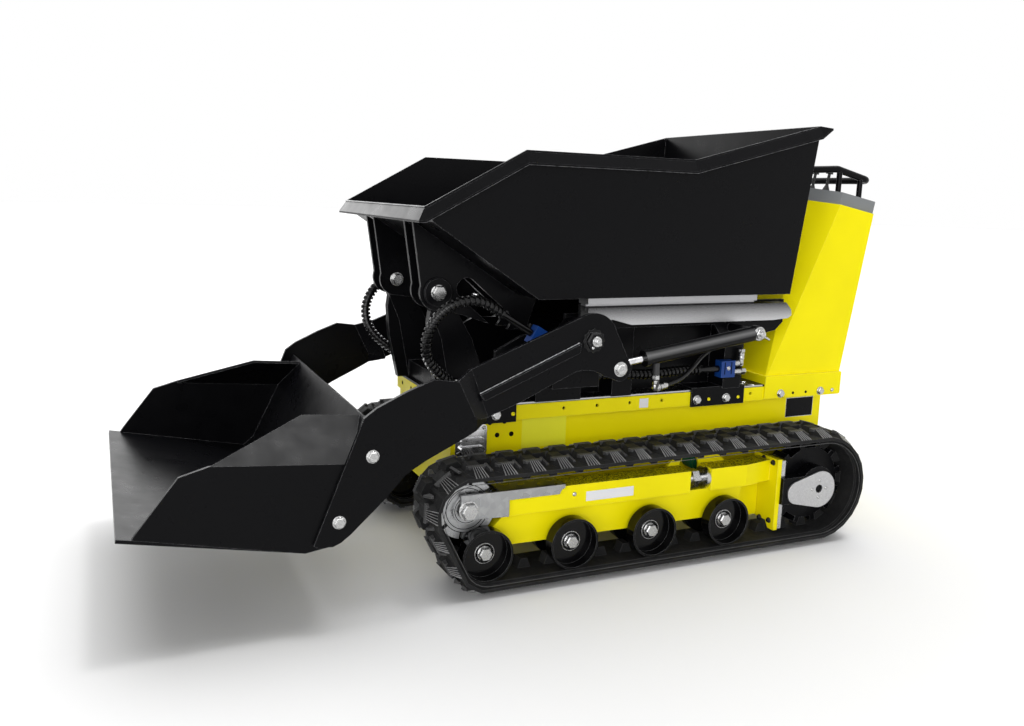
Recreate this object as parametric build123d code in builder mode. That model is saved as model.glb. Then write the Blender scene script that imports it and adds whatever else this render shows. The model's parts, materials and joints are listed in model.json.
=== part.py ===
from build123d import *

import os
from math import asin, atan2, cos, hypot, pi, sin, tan

# Tracked walk-behind mini dumper with a forward-tipping hopper and a self-loading front bucket.
# Millimetres. +X forward, +Y to the machine's left, +Z up. The origin is on the ground, under the
# middle of the machine's length and width. Pieces of the left side are made once and mirrored.

# ---- Overall places -------------------------------------------------------------------------
running_gap = 0.3  # between a pin and its bore, and between pieces that only rest on each other

# ---- Tracks ---------------------------------------------------------------------------------
track_inner_y = 235.0
track_width = 180.0
track_mid_y = track_inner_y + track_width / 2
lug_height = 17.0
carcass_thickness = 16.0
edge_thickness = 8.0
edge_band = 20.0
horn_height = 24.0
horn_width = 32.0
horn_base = 38.0
horn_tip = 18.0
lug_base = 52.0  # length of a lug's head along the belt
lug_tip = 28.0
lug_foot = 26.0  # length of its ramp at the belt's edge
lug_ramp = 42.0
lug_count = 39
cord_depth = 10.0  # of the belt's steel cords, outside the wheel path; the pitch is measured there
belt_path_z = lug_height + carcass_thickness  # height of the inner path above the ground

wheel_radius = 66.0
wheel_count = 4
wheel_spacing = 236.0
front_wheel_x = 236.5
wheel_z = belt_path_z + wheel_radius
wheel_front = 71.0  # faces of each wheel, measured from the belt's middle
wheel_floor = 43.0
wheel_back = 37.0
wheel_bolt = 57.0
wheel_rim_wall = 5.0
axle_radius = 12.0
hub_radius = 26.0

idler_x = 281.0
idler_z = 213.0
idler_radius = 76.0
idler_notches = 8
sprocket_x = -777.0
sprocket_radius = 132.0
sprocket_z = belt_path_z + sprocket_radius
sprocket_teeth = 12
rim_radius = 104.0
rim_width = 6.0
tooth_width = 16.0
tooth_reach = 16.0
drum_radius = 62.0

# ---- Track frames ---------------------------------------------------------------------------
beam_outer_y = 365.0
beam_width = 60.0
beam_low_z = 184.0
beam_high_z = 244.0
beam_front_x = 175.0
beam_rear_x = -360.0
rear_beam_front_x = -427.0
rear_beam_bend_x = -545.0
drive_plate_x = -641.0
drive_plate_thickness = 14.0
drive_plate_high_z = 252.0
drive_plate_low_z = 46.0
drive_plate_outer_y = 378.0
drive_plate_inner_y = 275.0
keel_width = 44.0
keel_low_z = 102.0
keel_boss_radius = 22.0
fork_plate = 8.0
fork_outer_y = 373.5
fork_high_z = 252.0
fork_lip_z = 228.0
fork_tail_x = 23.0
fork_nose = 19.0
tension_rod_radius = 15.0
tension_nut_radius = 27.0

# ---- Chassis --------------------------------------------------------------------------------
box_half_width = 212.0
box_wall = 6.0
box_low_z = 176.0
box_front_x = 270.0
box_rear_x = -928.0
rim_low_z = 391.0
rim_high_z = 430.0
rim_half_width = 240.0
rim_rear_x = -970.0
deck_thickness = 6.0
deck_rear_x = -686.0
cross_tube_radius = 25.0
cross_tube_x = (-20.0, -500.0)
battery_size = (560.0, 360.0, 170.0)
rim_hole_radius = 4.5
rim_hole_x = (-34.5, -134.0, -235.0, -337.0, -638.5, -743.0)
lamp_x = 216.0
lamp_z = 340.0
lamp_size = (86.0, 80.0)

# ---- Console --------------------------------------------------------------------------------
console_half_width = 235.0
console_front_x = -686.0
console_rear_x = -966.0
console_top_front_x = -858.0
console_top_rear_x = -1047.0
console_top_front_z = 966.0
console_top_rear_z = 930.0
console_chamfer_x = -920.0
console_chamfer_y = 150.0
cap_thickness = 36.0
cap_overhang = 1.3
skirt_high_z = 460.0
skirt_wall = 5.0
handle_radius = 10.0
post_radius = 8.0
handle_half_width = 205.0
handle_rear_x = -1045.0
handle_front_x = -807.0
handle_high_z = 1050.0
handle_rear_z = 1026.0

# ---- Hopper ---------------------------------------------------------------------------------
hopper_pivot_x = 309.0
hopper_pivot_z = 719.0
hopper_wall = 5.0
hopper_low_z = 711.0
hopper_low_front_x = 98.0
hopper_low_rear_x = -664.0
hopper_rear_top_x = -702.0
hopper_rear_top_z = 1157.0
hopper_step_x = -314.0
hopper_step_z = 1055.0
hopper_knuckle_x = 150.0
hopper_knuckle_z = 1059.0
hopper_lip_x = 395.0
hopper_lip_z = 925.0
hopper_nose_x = 371.0
hopper_nose_z = 892.0
hopper_low_half_width = 342.0
hopper_top_half_width = 367.0
rim_flange = 15.0
rim_drop = 29.0
bracket_plate = 10.0
bracket_outer_y = 210.0
bracket_inner_y = 142.0
hopper_pin_radius = 15.0

# ---- Loader arms and bucket -----------------------------------------------------------------
arm_pivot_x = -15.0
arm_pivot_z = 619.0
arm_plate = 10.0
arm_upper_y = 405.0  # inner face of the upper half of the arm plate
arm_pin_radius = 15.0
rod_pin_x = -94.0
rod_pin_z = 545.0
bucket_half_width = 443.0
arm_lower_y = bucket_half_width + running_gap  # inner face of the arm's lower half
bucket_plate = 8.0
bucket_lip_x = 1055.0
bucket_lip_z = 262.0

# ---- Cylinders ------------------------------------------------------------------------------
lift_base_x = -535.0
lift_base_z = 612.0
lift_y = 370.0
lift_barrel_radius = 20.0
lift_rod_radius = 9.0
lift_barrel_length = 352.0
lift_eye_width = 24.0
tip_base_x = -395.0
tip_base_z = 480.0
tip_eye_x = 105.0
tip_eye_z = 680.0

# ---- Hoses: the points that each route turns at --------------------------------------------------
loop_hose_radius = 9.0
deck_hose_radius = 9.0
lift_hose_radius = 6.0
# a loop from the clamp on the arm's bearer, forward over the top and down to the deck's block
loop_hose_route = (
    (96.0, 300.0, 624.0),
    (158.0, 300.0, 662.0),
    (237.0, 300.0, 715.0),
    (321.0, 290.0, 693.0),
    (365.0, 275.0, 618.0),
    (340.0, 255.0, 534.0),
    (266.0, 234.0, 491.0),
)
# along the deck from the bearer back to the rear clamp
deck_hose_route = (
    (arm_pivot_x - 60, 264.0, 502.0),
    (-165.0, 264.0, 502.0),
    (-270.0, 269.0, 494.0),
    (-375.0, 266.0, 500.0),
    (-440.0, 264.0, 497.0),
    (-500.0, 264.0, 497.0),
)
# under the lift cylinder, from the elbow at its front port to the port near its base
lift_hose_route = (
    (-262.0, 368.0, 487.0),
    (-305.0, 362.0, 494.0),
    (-352.0, 345.0, 518.0),
    (-395.0, 333.0, 554.0),
    (-424.0, 342.0, 574.0),
)

# ---- Helpers --------------------------------------------------------------------------------


def side_plane(y):
    """Sketch plane at the distance y to the left: x forward, z up; extrusions run inwards."""
    return Plane.XZ.offset(-y)


def write(name, part):
    """Label a finished piece and write it to its own file."""
    part.label = name
    export_step(part, f"parts/{name}.step")


def write_pair(name, left_part):
    """Write a left piece and its mirror image on the right."""
    write(f"{name}_left", left_part)
    write(f"{name}_right", mirror(left_part, about=Plane.XZ))


def add_plate(corners, thickness):
    """Add a flat plate with the given corners in space, thickened on one side."""
    outline = Wire.make_polygon([Vector(*corner) for corner in corners], close=True)
    extrude(Face(outline), amount=thickness)


def add_rod(start, end, radius):
    """Add a round bar between two points."""
    axis = Vector(*end) - Vector(*start)
    with BuildSketch(Plane(origin=start, z_dir=axis)) as section:
        Circle(radius)
    extrude(section.sketch, amount=axis.length)


os.makedirs("parts", exist_ok=True)

# ---- Belt loop ------------------------------------------------------------------------------
# The wheels that the belt wraps, in the order met along the ground and back over the top:
# x, z and the radius of the belt's inner path.
wrapped_wheels = [
    (sprocket_x, sprocket_z, sprocket_radius),
    (front_wheel_x, wheel_z, wheel_radius),
    (idler_x, idler_z, idler_radius),
]


def tangent_angle(first, second):
    """Angle of the outward normal of the belt's straight run from one wheel to the next."""
    run_x = second[0] - first[0]
    run_z = second[1] - first[1]
    length = hypot(run_x, run_z)
    lean = asin((first[2] - second[2]) / length)
    return atan2(run_z, run_x) - pi / 2 + lean


def belt_stretches(outside):
    """Straight and curved stretches of the loop at a distance outside the wheel path."""
    count = len(wrapped_wheels)
    stretches = []
    for number, wheel in enumerate(wrapped_wheels):
        after = wrapped_wheels[(number + 1) % count]
        before = wrapped_wheels[number - 1]
        turn_in = tangent_angle(before, wheel)
        turn_out = tangent_angle(wheel, after)
        while turn_out < turn_in:
            turn_out += 2 * pi
        reach = wheel[2] + outside
        next_reach = after[2] + outside
        leave = (wheel[0] + reach * cos(turn_out), wheel[1] + reach * sin(turn_out))
        arrive = (after[0] + next_reach * cos(turn_out), after[1] + next_reach * sin(turn_out))
        stretches.append(("arc", wheel[0], wheel[1], reach, turn_in, turn_out))
        stretches.append(("run", leave, arrive, turn_out))
    return stretches


def belt_place(distance):
    """Point and outward angle on the inner path, a distance along the cords from the rearmost point."""
    stretches = belt_stretches(0)
    lengths = []
    for stretch in stretches:
        if stretch[0] == "arc":
            lengths.append((stretch[3] + cord_depth) * (stretch[5] - stretch[4]))
        else:
            lengths.append(hypot(stretch[2][0] - stretch[1][0], stretch[2][1] - stretch[1][1]))
    first = stretches[0]
    distance += (first[3] + cord_depth) * (pi - first[4])
    distance %= sum(lengths)
    for stretch, length in zip(stretches, lengths):
        if distance <= length:
            break
        distance -= length
    if stretch[0] == "arc":
        angle = stretch[4] + distance / (stretch[3] + cord_depth)
        return stretch[1] + stretch[3] * cos(angle), stretch[2] + stretch[3] * sin(angle), angle
    share = distance / length
    x = stretch[1][0] + share * (stretch[2][0] - stretch[1][0])
    z = stretch[1][1] + share * (stretch[2][1] - stretch[1][1])
    return x, z, stretch[3]


belt_length = 0.0
for stretch in belt_stretches(cord_depth):
    if stretch[0] == "arc":
        belt_length += stretch[3] * (stretch[5] - stretch[4])
    else:
        belt_length += hypot(stretch[2][0] - stretch[1][0], stretch[2][1] - stretch[1][1])
lug_pitch = belt_length / lug_count
print(f"belt length {belt_length:.1f} mm, lug pitch {lug_pitch:.2f} mm")


def belt_corners(outside):
    """Corners of the loop at a distance outside the wheel path: flats half a pitch long on the curves."""
    corners = []
    for stretch in belt_stretches(outside):
        if stretch[0] == "run":
            continue
        x, z, reach, turn_in, turn_out = stretch[1:]
        flats = max(1, round((turn_out - turn_in) * (reach - outside + cord_depth) / (lug_pitch / 2)))
        step = (turn_out - turn_in) / flats
        for number in range(flats):
            angle = turn_in + (number + 0.5) * step
            corner_reach = reach / cos(step / 2)
            corners.append((x + corner_reach * cos(angle), z + corner_reach * sin(angle)))
    return corners


def belt_planes(outer_y, start):
    """One sketch plane per pitch on the inner path: x along the belt, y towards the wheels."""
    planes = []
    for number in range(lug_count):
        x, z, angle = belt_place((number + start) * lug_pitch)
        forward = (-sin(angle), 0, cos(angle))
        planes.append(Plane(origin=(x, outer_y, z), x_dir=forward, z_dir=(0, -1, 0)))
    return planes


# ---- Track: one closed loop with its lugs outside and guide horns inside ----------------------
lug_sink = 3.0
lug_low = lug_sink - carcass_thickness
lug_high = -(carcass_thickness + lug_height)
foot_tip = lug_foot - (lug_base - lug_tip) * lug_sink / (lug_height + lug_sink)


def lug_corners(plane, depth, base, tip, high):
    """Corners of a lug along the belt, a depth inwards from the plane at the belt's edge."""
    corners = ((-base / 2, lug_low), (base / 2, lug_low), (tip / 2, high), (-tip / 2, high))
    return [plane.from_local_coords(Vector(x, y, depth)) for x, y in corners]


def flat_face(corners):
    """Flat face between corners in space."""
    return Face(Wire.make_polygon(corners, close=True))


def lug(plane, edge, shoulder, middle):
    """One lug: a ramp that widens from the belt's edge into a blunt head near its middle."""
    outlines = [
        lug_corners(plane, edge, lug_foot, foot_tip, -carcass_thickness),
        lug_corners(plane, shoulder, lug_base, lug_tip, lug_high),
        lug_corners(plane, middle, lug_base, lug_tip, lug_high),
    ]
    faces = [flat_face(outlines[0]), flat_face(outlines[-1])]
    for near, far in zip(outlines, outlines[1:]):
        for first, second in ((0, 1), (1, 2), (2, 3), (3, 0)):
            faces.append(flat_face([near[first], near[second], far[second], far[first]]))
    return Solid(Shell(faces))


track_outer_y = track_inner_y + track_width
lug_row_depth = track_width / 2 - 3
lug_rows = (  # share of a pitch, then the depths of edge, shoulder and middle end
    (0.0, 0.0, lug_ramp, lug_row_depth),
    (0.5, track_width, track_width - lug_ramp, track_width - lug_row_depth),
)
with BuildPart() as track:
    # two bands: the thick middle that the wheels roll on, and the thin edges
    for outer_y, width, inside in (
        (track_outer_y, track_width, carcass_thickness - edge_thickness),
        (track_outer_y - edge_band, track_width - 2 * edge_band, 0.0),
    ):
        with BuildSketch(side_plane(outer_y)):
            Polygon(*belt_corners(carcass_thickness), align=None)
            Polygon(*belt_corners(inside), align=None, mode=Mode.SUBTRACT)
        extrude(amount=width)
    for start, edge, shoulder, middle in lug_rows:
        add([lug(plane, edge, shoulder, middle) for plane in belt_planes(track_outer_y, start)])
    with BuildSketch(*belt_planes(track_mid_y + horn_width / 2, 0.0)) as horns:
        Polygon(
            (-horn_base / 2, -lug_sink),
            (horn_base / 2, -lug_sink),
            (horn_tip / 2, horn_height),
            (-horn_tip / 2, horn_height),
            align=None,
        )
    extrude(horns.sketch, amount=horn_width)
write_pair("track", track.part)

# ---- Road wheels: four pairs of deep cups on their axles ---------------------------------------
wheel_x = [front_wheel_x - number * wheel_spacing for number in range(wheel_count)]
hub_ring_wall = 4.0
washer_radius = 19.0
# half of an axle with its wheel: distance from the belt's middle, and radius
wheel_profile = (
    (0, 0),
    (0, axle_radius),
    (wheel_back, axle_radius),
    (wheel_back, wheel_radius),
    (wheel_front, wheel_radius),
    (wheel_front, wheel_radius - wheel_rim_wall),
    (wheel_floor, wheel_radius - wheel_rim_wall),
    (wheel_floor, hub_radius),
    (wheel_floor + 3, hub_radius),
    (wheel_floor + 3, hub_radius - hub_ring_wall),
    (wheel_floor - 3, hub_radius - hub_ring_wall),
    (wheel_floor - 3, washer_radius),
    (wheel_floor + 1, washer_radius),
    (wheel_floor + 1, 0),
)
with BuildPart() as road_wheels:
    for x in wheel_x:
        axle_plane = Plane(origin=(x, track_mid_y, wheel_z), x_dir=(0, 1, 0), z_dir=(1, 0, 0))
        for side in (1, -1):
            with BuildSketch(axle_plane):
                Polygon(*[(side * across, radius) for across, radius in wheel_profile], align=None)
            revolve(axis=Axis((x, track_mid_y, wheel_z), (0, 1, 0)))
        bolt_length = wheel_bolt - wheel_floor
        for head_y in (track_mid_y + wheel_bolt, track_mid_y - wheel_floor):
            with BuildSketch(side_plane(head_y)):
                with Locations((x, wheel_z)):
                    RegularPolygon(17.5, 6)
            extrude(amount=bolt_length)
write_pair("road_wheels", road_wheels.part)

# ---- Idler: two notched flanges on a hub ------------------------------------------------------
wheel_back_y = track_mid_y + wheel_back
idler_outer_y = wheel_back_y - 6.0
idler_inner_y = 2 * track_mid_y - idler_outer_y
flange_width = idler_outer_y - track_mid_y - horn_width / 2 - 1.5
hub_outer_y = fork_outer_y - fork_plate - running_gap
notch_width = 9.0
notch_depth = 16.0
with BuildPart() as idler:
    for outer_y in (idler_outer_y, idler_inner_y + flange_width):
        with BuildSketch(side_plane(outer_y)):
            with Locations((idler_x, idler_z)):
                Circle(idler_radius)
                with PolarLocations(idler_radius, idler_notches, 100):
                    Rectangle(2 * notch_depth, notch_width, mode=Mode.SUBTRACT)
        extrude(amount=flange_width)
    with BuildSketch(side_plane(hub_outer_y)):
        with Locations((idler_x, idler_z)):
            Circle(hub_radius + 10)
    extrude(amount=2 * (hub_outer_y - track_mid_y))
    with BuildSketch(side_plane(hub_outer_y)):
        with Locations((idler_x, idler_z)):
            Circle(axle_radius + running_gap)
    extrude(amount=2 * (hub_outer_y - track_mid_y), mode=Mode.SUBTRACT)
write_pair("idler", idler.part)

# ---- Idler fork: a galvanised channel over the beam's front end -------------------------------
fork_inner_y = 2 * track_mid_y - fork_outer_y
fork_bridge_x = idler_x - idler_radius - 6.0
fork_front_x = idler_x + fork_nose
with BuildPart() as idler_fork:
    for outer_y in (fork_outer_y, fork_inner_y + fork_plate):
        with BuildSketch(side_plane(outer_y)):
            with BuildLine():
                sole = Polyline(
                    (fork_tail_x + 14, fork_lip_z),
                    (beam_front_x, fork_lip_z),
                    (beam_front_x, beam_low_z + 2),
                    (fork_front_x - 6, beam_low_z + 7),
                    (fork_front_x, beam_low_z + 13),
                    (fork_front_x, fork_high_z),
                    (fork_tail_x, fork_high_z),
                    (fork_tail_x, fork_lip_z + 14),
                )
                RadiusArc(sole @ 1, sole @ 0, 14)
            make_face()
        extrude(amount=fork_plate)
    with BuildSketch(Plane.XY.offset(fork_high_z)):
        with Locations(((fork_tail_x + fork_bridge_x) / 2, track_mid_y)):
            Rectangle(fork_bridge_x - fork_tail_x, fork_outer_y - fork_inner_y)
    extrude(amount=-(fork_high_z - beam_high_z - running_gap))
    add_rod((idler_x, fork_outer_y, idler_z), (idler_x, fork_inner_y, idler_z), axle_radius)
    with BuildSketch(side_plane(fork_outer_y + 14)):
        with Locations((idler_x, idler_z)):
            RegularPolygon(22, 6)
    extrude(amount=14)
write_pair("idler_fork", idler_fork.part)

# ---- Track frame: beam, keel with the axle bosses, rear beam, drive plate and arched gusset ----
keel_outer_y = track_mid_y + keel_width / 2
beam_inner_y = beam_outer_y - beam_width
gap_mid_x = (beam_rear_x + rear_beam_front_x) / 2
gusset_thickness = 8.0
gusset_arch_radius = 33.0
gusset_outline = (
    (beam_rear_x + 46, beam_low_z + 10),
    (beam_rear_x + 46, beam_low_z + 50),
    (beam_rear_x + 2, 280.0),
    (rear_beam_front_x - 44, 280.0),
    (rear_beam_front_x - 107, beam_low_z + 42),
    (rear_beam_front_x - 107, beam_low_z + 10),
)
with BuildPart() as track_frame:
    with BuildSketch(side_plane(beam_outer_y)):
        with Locations(((beam_front_x + beam_rear_x) / 2, (beam_low_z + beam_high_z) / 2)):
            Rectangle(beam_front_x - beam_rear_x, beam_high_z - beam_low_z)
    extrude(amount=beam_width)
    with BuildSketch(Plane.XY.offset(beam_low_z)):
        Polygon(
            (rear_beam_front_x, beam_outer_y),
            (rear_beam_bend_x, beam_outer_y),
            (drive_plate_x, beam_outer_y - 20),
            (drive_plate_x, beam_inner_y - 10),
            (rear_beam_bend_x, beam_inner_y),
            (rear_beam_front_x, beam_inner_y),
            align=None,
        )
    extrude(amount=beam_high_z - beam_low_z)
    with BuildSketch(Plane.YZ.offset(drive_plate_x)):
        Polygon(
            (drive_plate_outer_y, drive_plate_high_z),
            (drive_plate_outer_y, drive_plate_low_z),
            (drive_plate_outer_y - 24, drive_plate_low_z),
            (drive_plate_outer_y - 36, drive_plate_low_z + 20),
            (drive_plate_inner_y, drive_plate_low_z + 20),
            (drive_plate_inner_y, drive_plate_high_z),
            align=None,
        )
    extrude(amount=-drive_plate_thickness)
    with BuildSketch(side_plane(beam_inner_y)):
        Polygon(*gusset_outline, align=None)
        with Locations((gap_mid_x, beam_low_z + 54)):
            Circle(gusset_arch_radius, mode=Mode.SUBTRACT)
        with Locations((gap_mid_x, beam_low_z + 20)):
            Rectangle(2 * gusset_arch_radius, 68, mode=Mode.SUBTRACT)
    extrude(amount=gusset_thickness)
    with BuildSketch(side_plane(keel_outer_y)):
        Polygon(
            (front_wheel_x - 52, beam_low_z),
            (front_wheel_x - 82, keel_low_z),
            (wheel_x[-1] - 60, keel_low_z),
            (rear_beam_bend_x, beam_low_z),
            align=None,
        )
        Polygon(
            (front_wheel_x - 62, beam_low_z),
            (front_wheel_x + 16, wheel_z + 8),
            (front_wheel_x, wheel_z - keel_boss_radius),
            (front_wheel_x - 82, keel_low_z),
            align=None,
        )
        with Locations(*[(x, wheel_z) for x in wheel_x]):
            Circle(keel_boss_radius)
        with Locations(*[(x, wheel_z) for x in wheel_x]):
            Circle(axle_radius + running_gap, mode=Mode.SUBTRACT)
    extrude(amount=keel_width)
write_pair("track_frame", track_frame.part)

# ---- Tensioner: threaded rod and nuts in the gap between the beams ----------------------------
tension_y = beam_outer_y - beam_width / 2
tension_z = (beam_low_z + beam_high_z) / 2
with BuildPart() as tensioner:
    gap_length = beam_rear_x - rear_beam_front_x
    with BuildSketch(Plane.YZ.offset(beam_rear_x)):
        with Locations((tension_y, tension_z)):
            Circle(tension_rod_radius)
    extrude(amount=-gap_length)
    with BuildSketch(Plane.YZ.offset(beam_rear_x - 16)):
        with Locations((tension_y, tension_z)):
            RegularPolygon(tension_nut_radius, 6)
    extrude(amount=-20)
    with BuildSketch(Plane.YZ.offset(rear_beam_front_x + 12)):
        with Locations((tension_y, tension_z)):
            Circle(tension_nut_radius + 3)
    extrude(amount=-12)
write_pair("tensioner", tensioner.part)

# ---- Sprocket: two rims on a drum, with drive teeth between the belt's horns -------------------
sprocket_half_width = horn_width / 2 + 10
with BuildPart() as sprocket:
    with BuildSketch(side_plane(track_mid_y + sprocket_half_width)):
        with Locations((sprocket_x, sprocket_z)):
            Circle(drum_radius)
    extrude(amount=2 * sprocket_half_width)
    for outer_y in (track_mid_y + sprocket_half_width, track_mid_y - sprocket_half_width + rim_width):
        with BuildSketch(side_plane(outer_y)):
            with Locations((sprocket_x, sprocket_z)):
                Circle(rim_radius)
        extrude(amount=rim_width)
    with BuildSketch(side_plane(track_mid_y + sprocket_half_width)):
        with Locations((sprocket_x, sprocket_z)):
            with PolarLocations(rim_radius + tooth_reach / 2 - 8, sprocket_teeth, 180 + 180 / sprocket_teeth):
                Rectangle(tooth_reach + 16, tooth_width)
    extrude(amount=2 * sprocket_half_width)
    with BuildSketch(side_plane(track_mid_y + sprocket_half_width)):
        with Locations((sprocket_x, sprocket_z)):
            Circle(20 + running_gap)
    extrude(amount=2 * sprocket_half_width, mode=Mode.SUBTRACT)
write_pair("sprocket", sprocket.part)

# ---- Drive unit: gearbox outside the sprocket, its shaft, and the motor inside ----------------
gearbox_inner_y = track_mid_y + sprocket_half_width + 6
cover_outer_y = 395.0
cover_thickness = 5.0
gearbox_outer_y = cover_outer_y - cover_thickness
motor_outer_y = track_mid_y - sprocket_half_width - 6
mount_plate_x = drive_plate_x - drive_plate_thickness
with BuildPart() as drive_unit:
    with BuildSketch(side_plane(gearbox_outer_y)):
        with BuildLine():
            CenterArc((sprocket_x, sprocket_z), 58, 0, 360)
        make_face()
        with Locations((mount_plate_x - 38, sprocket_z - 4)):
            Rectangle(76, 76)
    extrude(amount=gearbox_outer_y - gearbox_inner_y)
    with BuildSketch(side_plane(drive_plate_outer_y)):
        with Locations((mount_plate_x - 6, (drive_plate_low_z + drive_plate_high_z) / 2)):
            Rectangle(12, drive_plate_high_z - drive_plate_low_z - 8)
    extrude(amount=drive_plate_outer_y - gearbox_inner_y)
    with BuildSketch(side_plane(gearbox_inner_y)):
        with Locations((sprocket_x, sprocket_z)):
            Circle(20)
    extrude(amount=gearbox_inner_y - motor_outer_y)
    with BuildSketch(side_plane(motor_outer_y)):
        with Locations((sprocket_x, sprocket_z)):
            Circle(50)
    extrude(amount=motor_outer_y - box_half_width - 0.5)
write_pair("drive_unit", drive_unit.part)

with BuildPart() as drive_cover:
    with BuildSketch(side_plane(cover_outer_y)):
        with BuildLine():
            CenterArc((sprocket_x - 8, sprocket_z - 8), 53, 0, 360)
            CenterArc((sprocket_x + 74, sprocket_z - 10), 33, 0, 360)
        make_hull()
        with Locations((sprocket_x - 4, sprocket_z - 6)):
            Circle(12, mode=Mode.SUBTRACT)
    extrude(amount=cover_thickness)
write_pair("drive_cover", drive_cover.part)

# ---- Chassis: a folded box with a wider top rim that carries the deck --------------------------
with BuildPart() as chassis_frame:
    with BuildSketch(Plane.XY.offset(box_low_z)):
        with Locations(((box_front_x + box_rear_x) / 2, 0)):
            Rectangle(box_front_x - box_rear_x, 2 * box_half_width)
    extrude(amount=rim_low_z - box_low_z)
    with BuildSketch(Plane.XY.offset(box_low_z + box_wall)):
        with Locations(((box_front_x + box_rear_x) / 2, 0)):
            Rectangle(box_front_x - box_rear_x - 2 * box_wall, 2 * (box_half_width - box_wall))
    extrude(amount=rim_low_z - box_low_z - box_wall, mode=Mode.SUBTRACT)
    with BuildSketch(Plane.XY.offset(rim_low_z)):
        with Locations(((box_front_x + rim_rear_x) / 2, 0)):
            Rectangle(box_front_x - rim_rear_x, 2 * rim_half_width)
            Rectangle(box_front_x - rim_rear_x - 90, 2 * (box_half_width - box_wall), mode=Mode.SUBTRACT)
    extrude(amount=box_wall)
    with BuildSketch(Plane.XY.offset(rim_low_z)):
        with Locations(((box_front_x + rim_rear_x) / 2, 0)):
            Rectangle(box_front_x - rim_rear_x, 2 * rim_half_width)
            Rectangle(box_front_x - rim_rear_x - 2 * box_wall, 2 * (rim_half_width - box_wall), mode=Mode.SUBTRACT)
    extrude(amount=rim_high_z - rim_low_z)
    with BuildSketch(side_plane(rim_half_width)):
        with Locations(*[(x, (rim_low_z + rim_high_z) / 2 + 2) for x in rim_hole_x]):
            Circle(rim_hole_radius)
    extrude(amount=2 * rim_half_width, mode=Mode.SUBTRACT)
    # the rear tubes end at the gussets' faces, the front ones at the beams
    for x, plate in zip(cross_tube_x, (0.0, gusset_thickness)):
        for side in (1, -1):
            start = (x, side * box_half_width, tension_z)
            end = (x, side * (beam_inner_y - plate), tension_z)
            add_rod(start, end, cross_tube_radius)
write("chassis_frame", chassis_frame.part)

with BuildPart() as battery_block:
    with BuildSketch(Plane.XY.offset(box_low_z + box_wall)):
        with Locations((-180, 0)):
            Rectangle(battery_size[0], battery_size[1])
    extrude(amount=battery_size[2])
write("battery_block", battery_block.part)

deck_high_z = rim_high_z + deck_thickness
with BuildPart() as deck_plate:
    with BuildSketch(Plane.XY.offset(rim_high_z)):
        with Locations(((box_front_x + deck_rear_x) / 2, 0)):
            Rectangle(box_front_x - deck_rear_x, 2 * rim_half_width)
    extrude(amount=deck_thickness)
write("deck_plate", deck_plate.part)

# ---- Console: a leaning steel housing with chamfered front corners ----------------------------
with BuildPart() as console_housing:
    with BuildSketch(side_plane(console_half_width)):
        Polygon(
            (console_rear_x, rim_high_z),
            (console_front_x, rim_high_z),
            (console_top_front_x, console_top_front_z),
            (console_top_rear_x, console_top_rear_z),
            align=None,
        )
    extrude(amount=2 * console_half_width)
    for side in (1, -1):
        corner_plane = Plane(
            Face(
                Wire.make_polygon(
                    [
                        Vector(console_front_x, side * console_half_width, rim_high_z),
                        Vector(console_chamfer_x, side * console_half_width, console_top_front_z - 6),
                        Vector(console_top_front_x, side * console_chamfer_y, console_top_front_z),
                    ]
                )
            )
        )
        keep_side = Keep.TOP if side * corner_plane.z_dir.Y < 0 else Keep.BOTTOM
        split(bisect_by=corner_plane, keep=keep_side)
    with BuildSketch(Plane.XY.offset(rim_high_z)):
        with Locations(((console_front_x + rim_rear_x) / 2, 0)):
            Rectangle(console_front_x - rim_rear_x, 2 * (rim_half_width + skirt_wall + running_gap))
    extrude(amount=skirt_high_z - rim_high_z)
    with BuildSketch(Plane.XY.offset(rim_low_z + 3)):
        with Locations(((console_front_x + rim_rear_x) / 2, 0)):
            Rectangle(console_front_x - rim_rear_x, 2 * (rim_half_width + skirt_wall + running_gap))
            Rectangle(console_front_x - rim_rear_x + 2, 2 * (rim_half_width + running_gap), mode=Mode.SUBTRACT)
    extrude(amount=rim_high_z - rim_low_z - 3)
write("console_housing", console_housing.part)

# ---- Console cap, handlebar, levers -----------------------------------------------------------
cap_lean = atan2(console_top_front_z - console_top_rear_z, console_top_front_x - console_top_rear_x)
cap_plane = Plane(
    origin=(console_top_rear_x, 0, console_top_rear_z + running_gap),
    x_dir=(cos(cap_lean), 0, sin(cap_lean)),
    z_dir=(-sin(cap_lean), 0, cos(cap_lean)),
)
cap_length = (console_top_front_x - console_top_rear_x) / cos(cap_lean)
with BuildPart() as console_cap:
    with BuildSketch(cap_plane):
        Polygon(
            (-cap_overhang, console_half_width - 6),
            (cap_length + console_chamfer_x - console_top_front_x, console_half_width - 6),
            (cap_length, console_chamfer_y),
            (cap_length, -console_chamfer_y),
            (cap_length + console_chamfer_x - console_top_front_x, -(console_half_width - 6)),
            (-cap_overhang, -(console_half_width - 6)),
            align=None,
        )
    extrude(amount=cap_thickness)
write("console_cap", console_cap.part)

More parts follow.
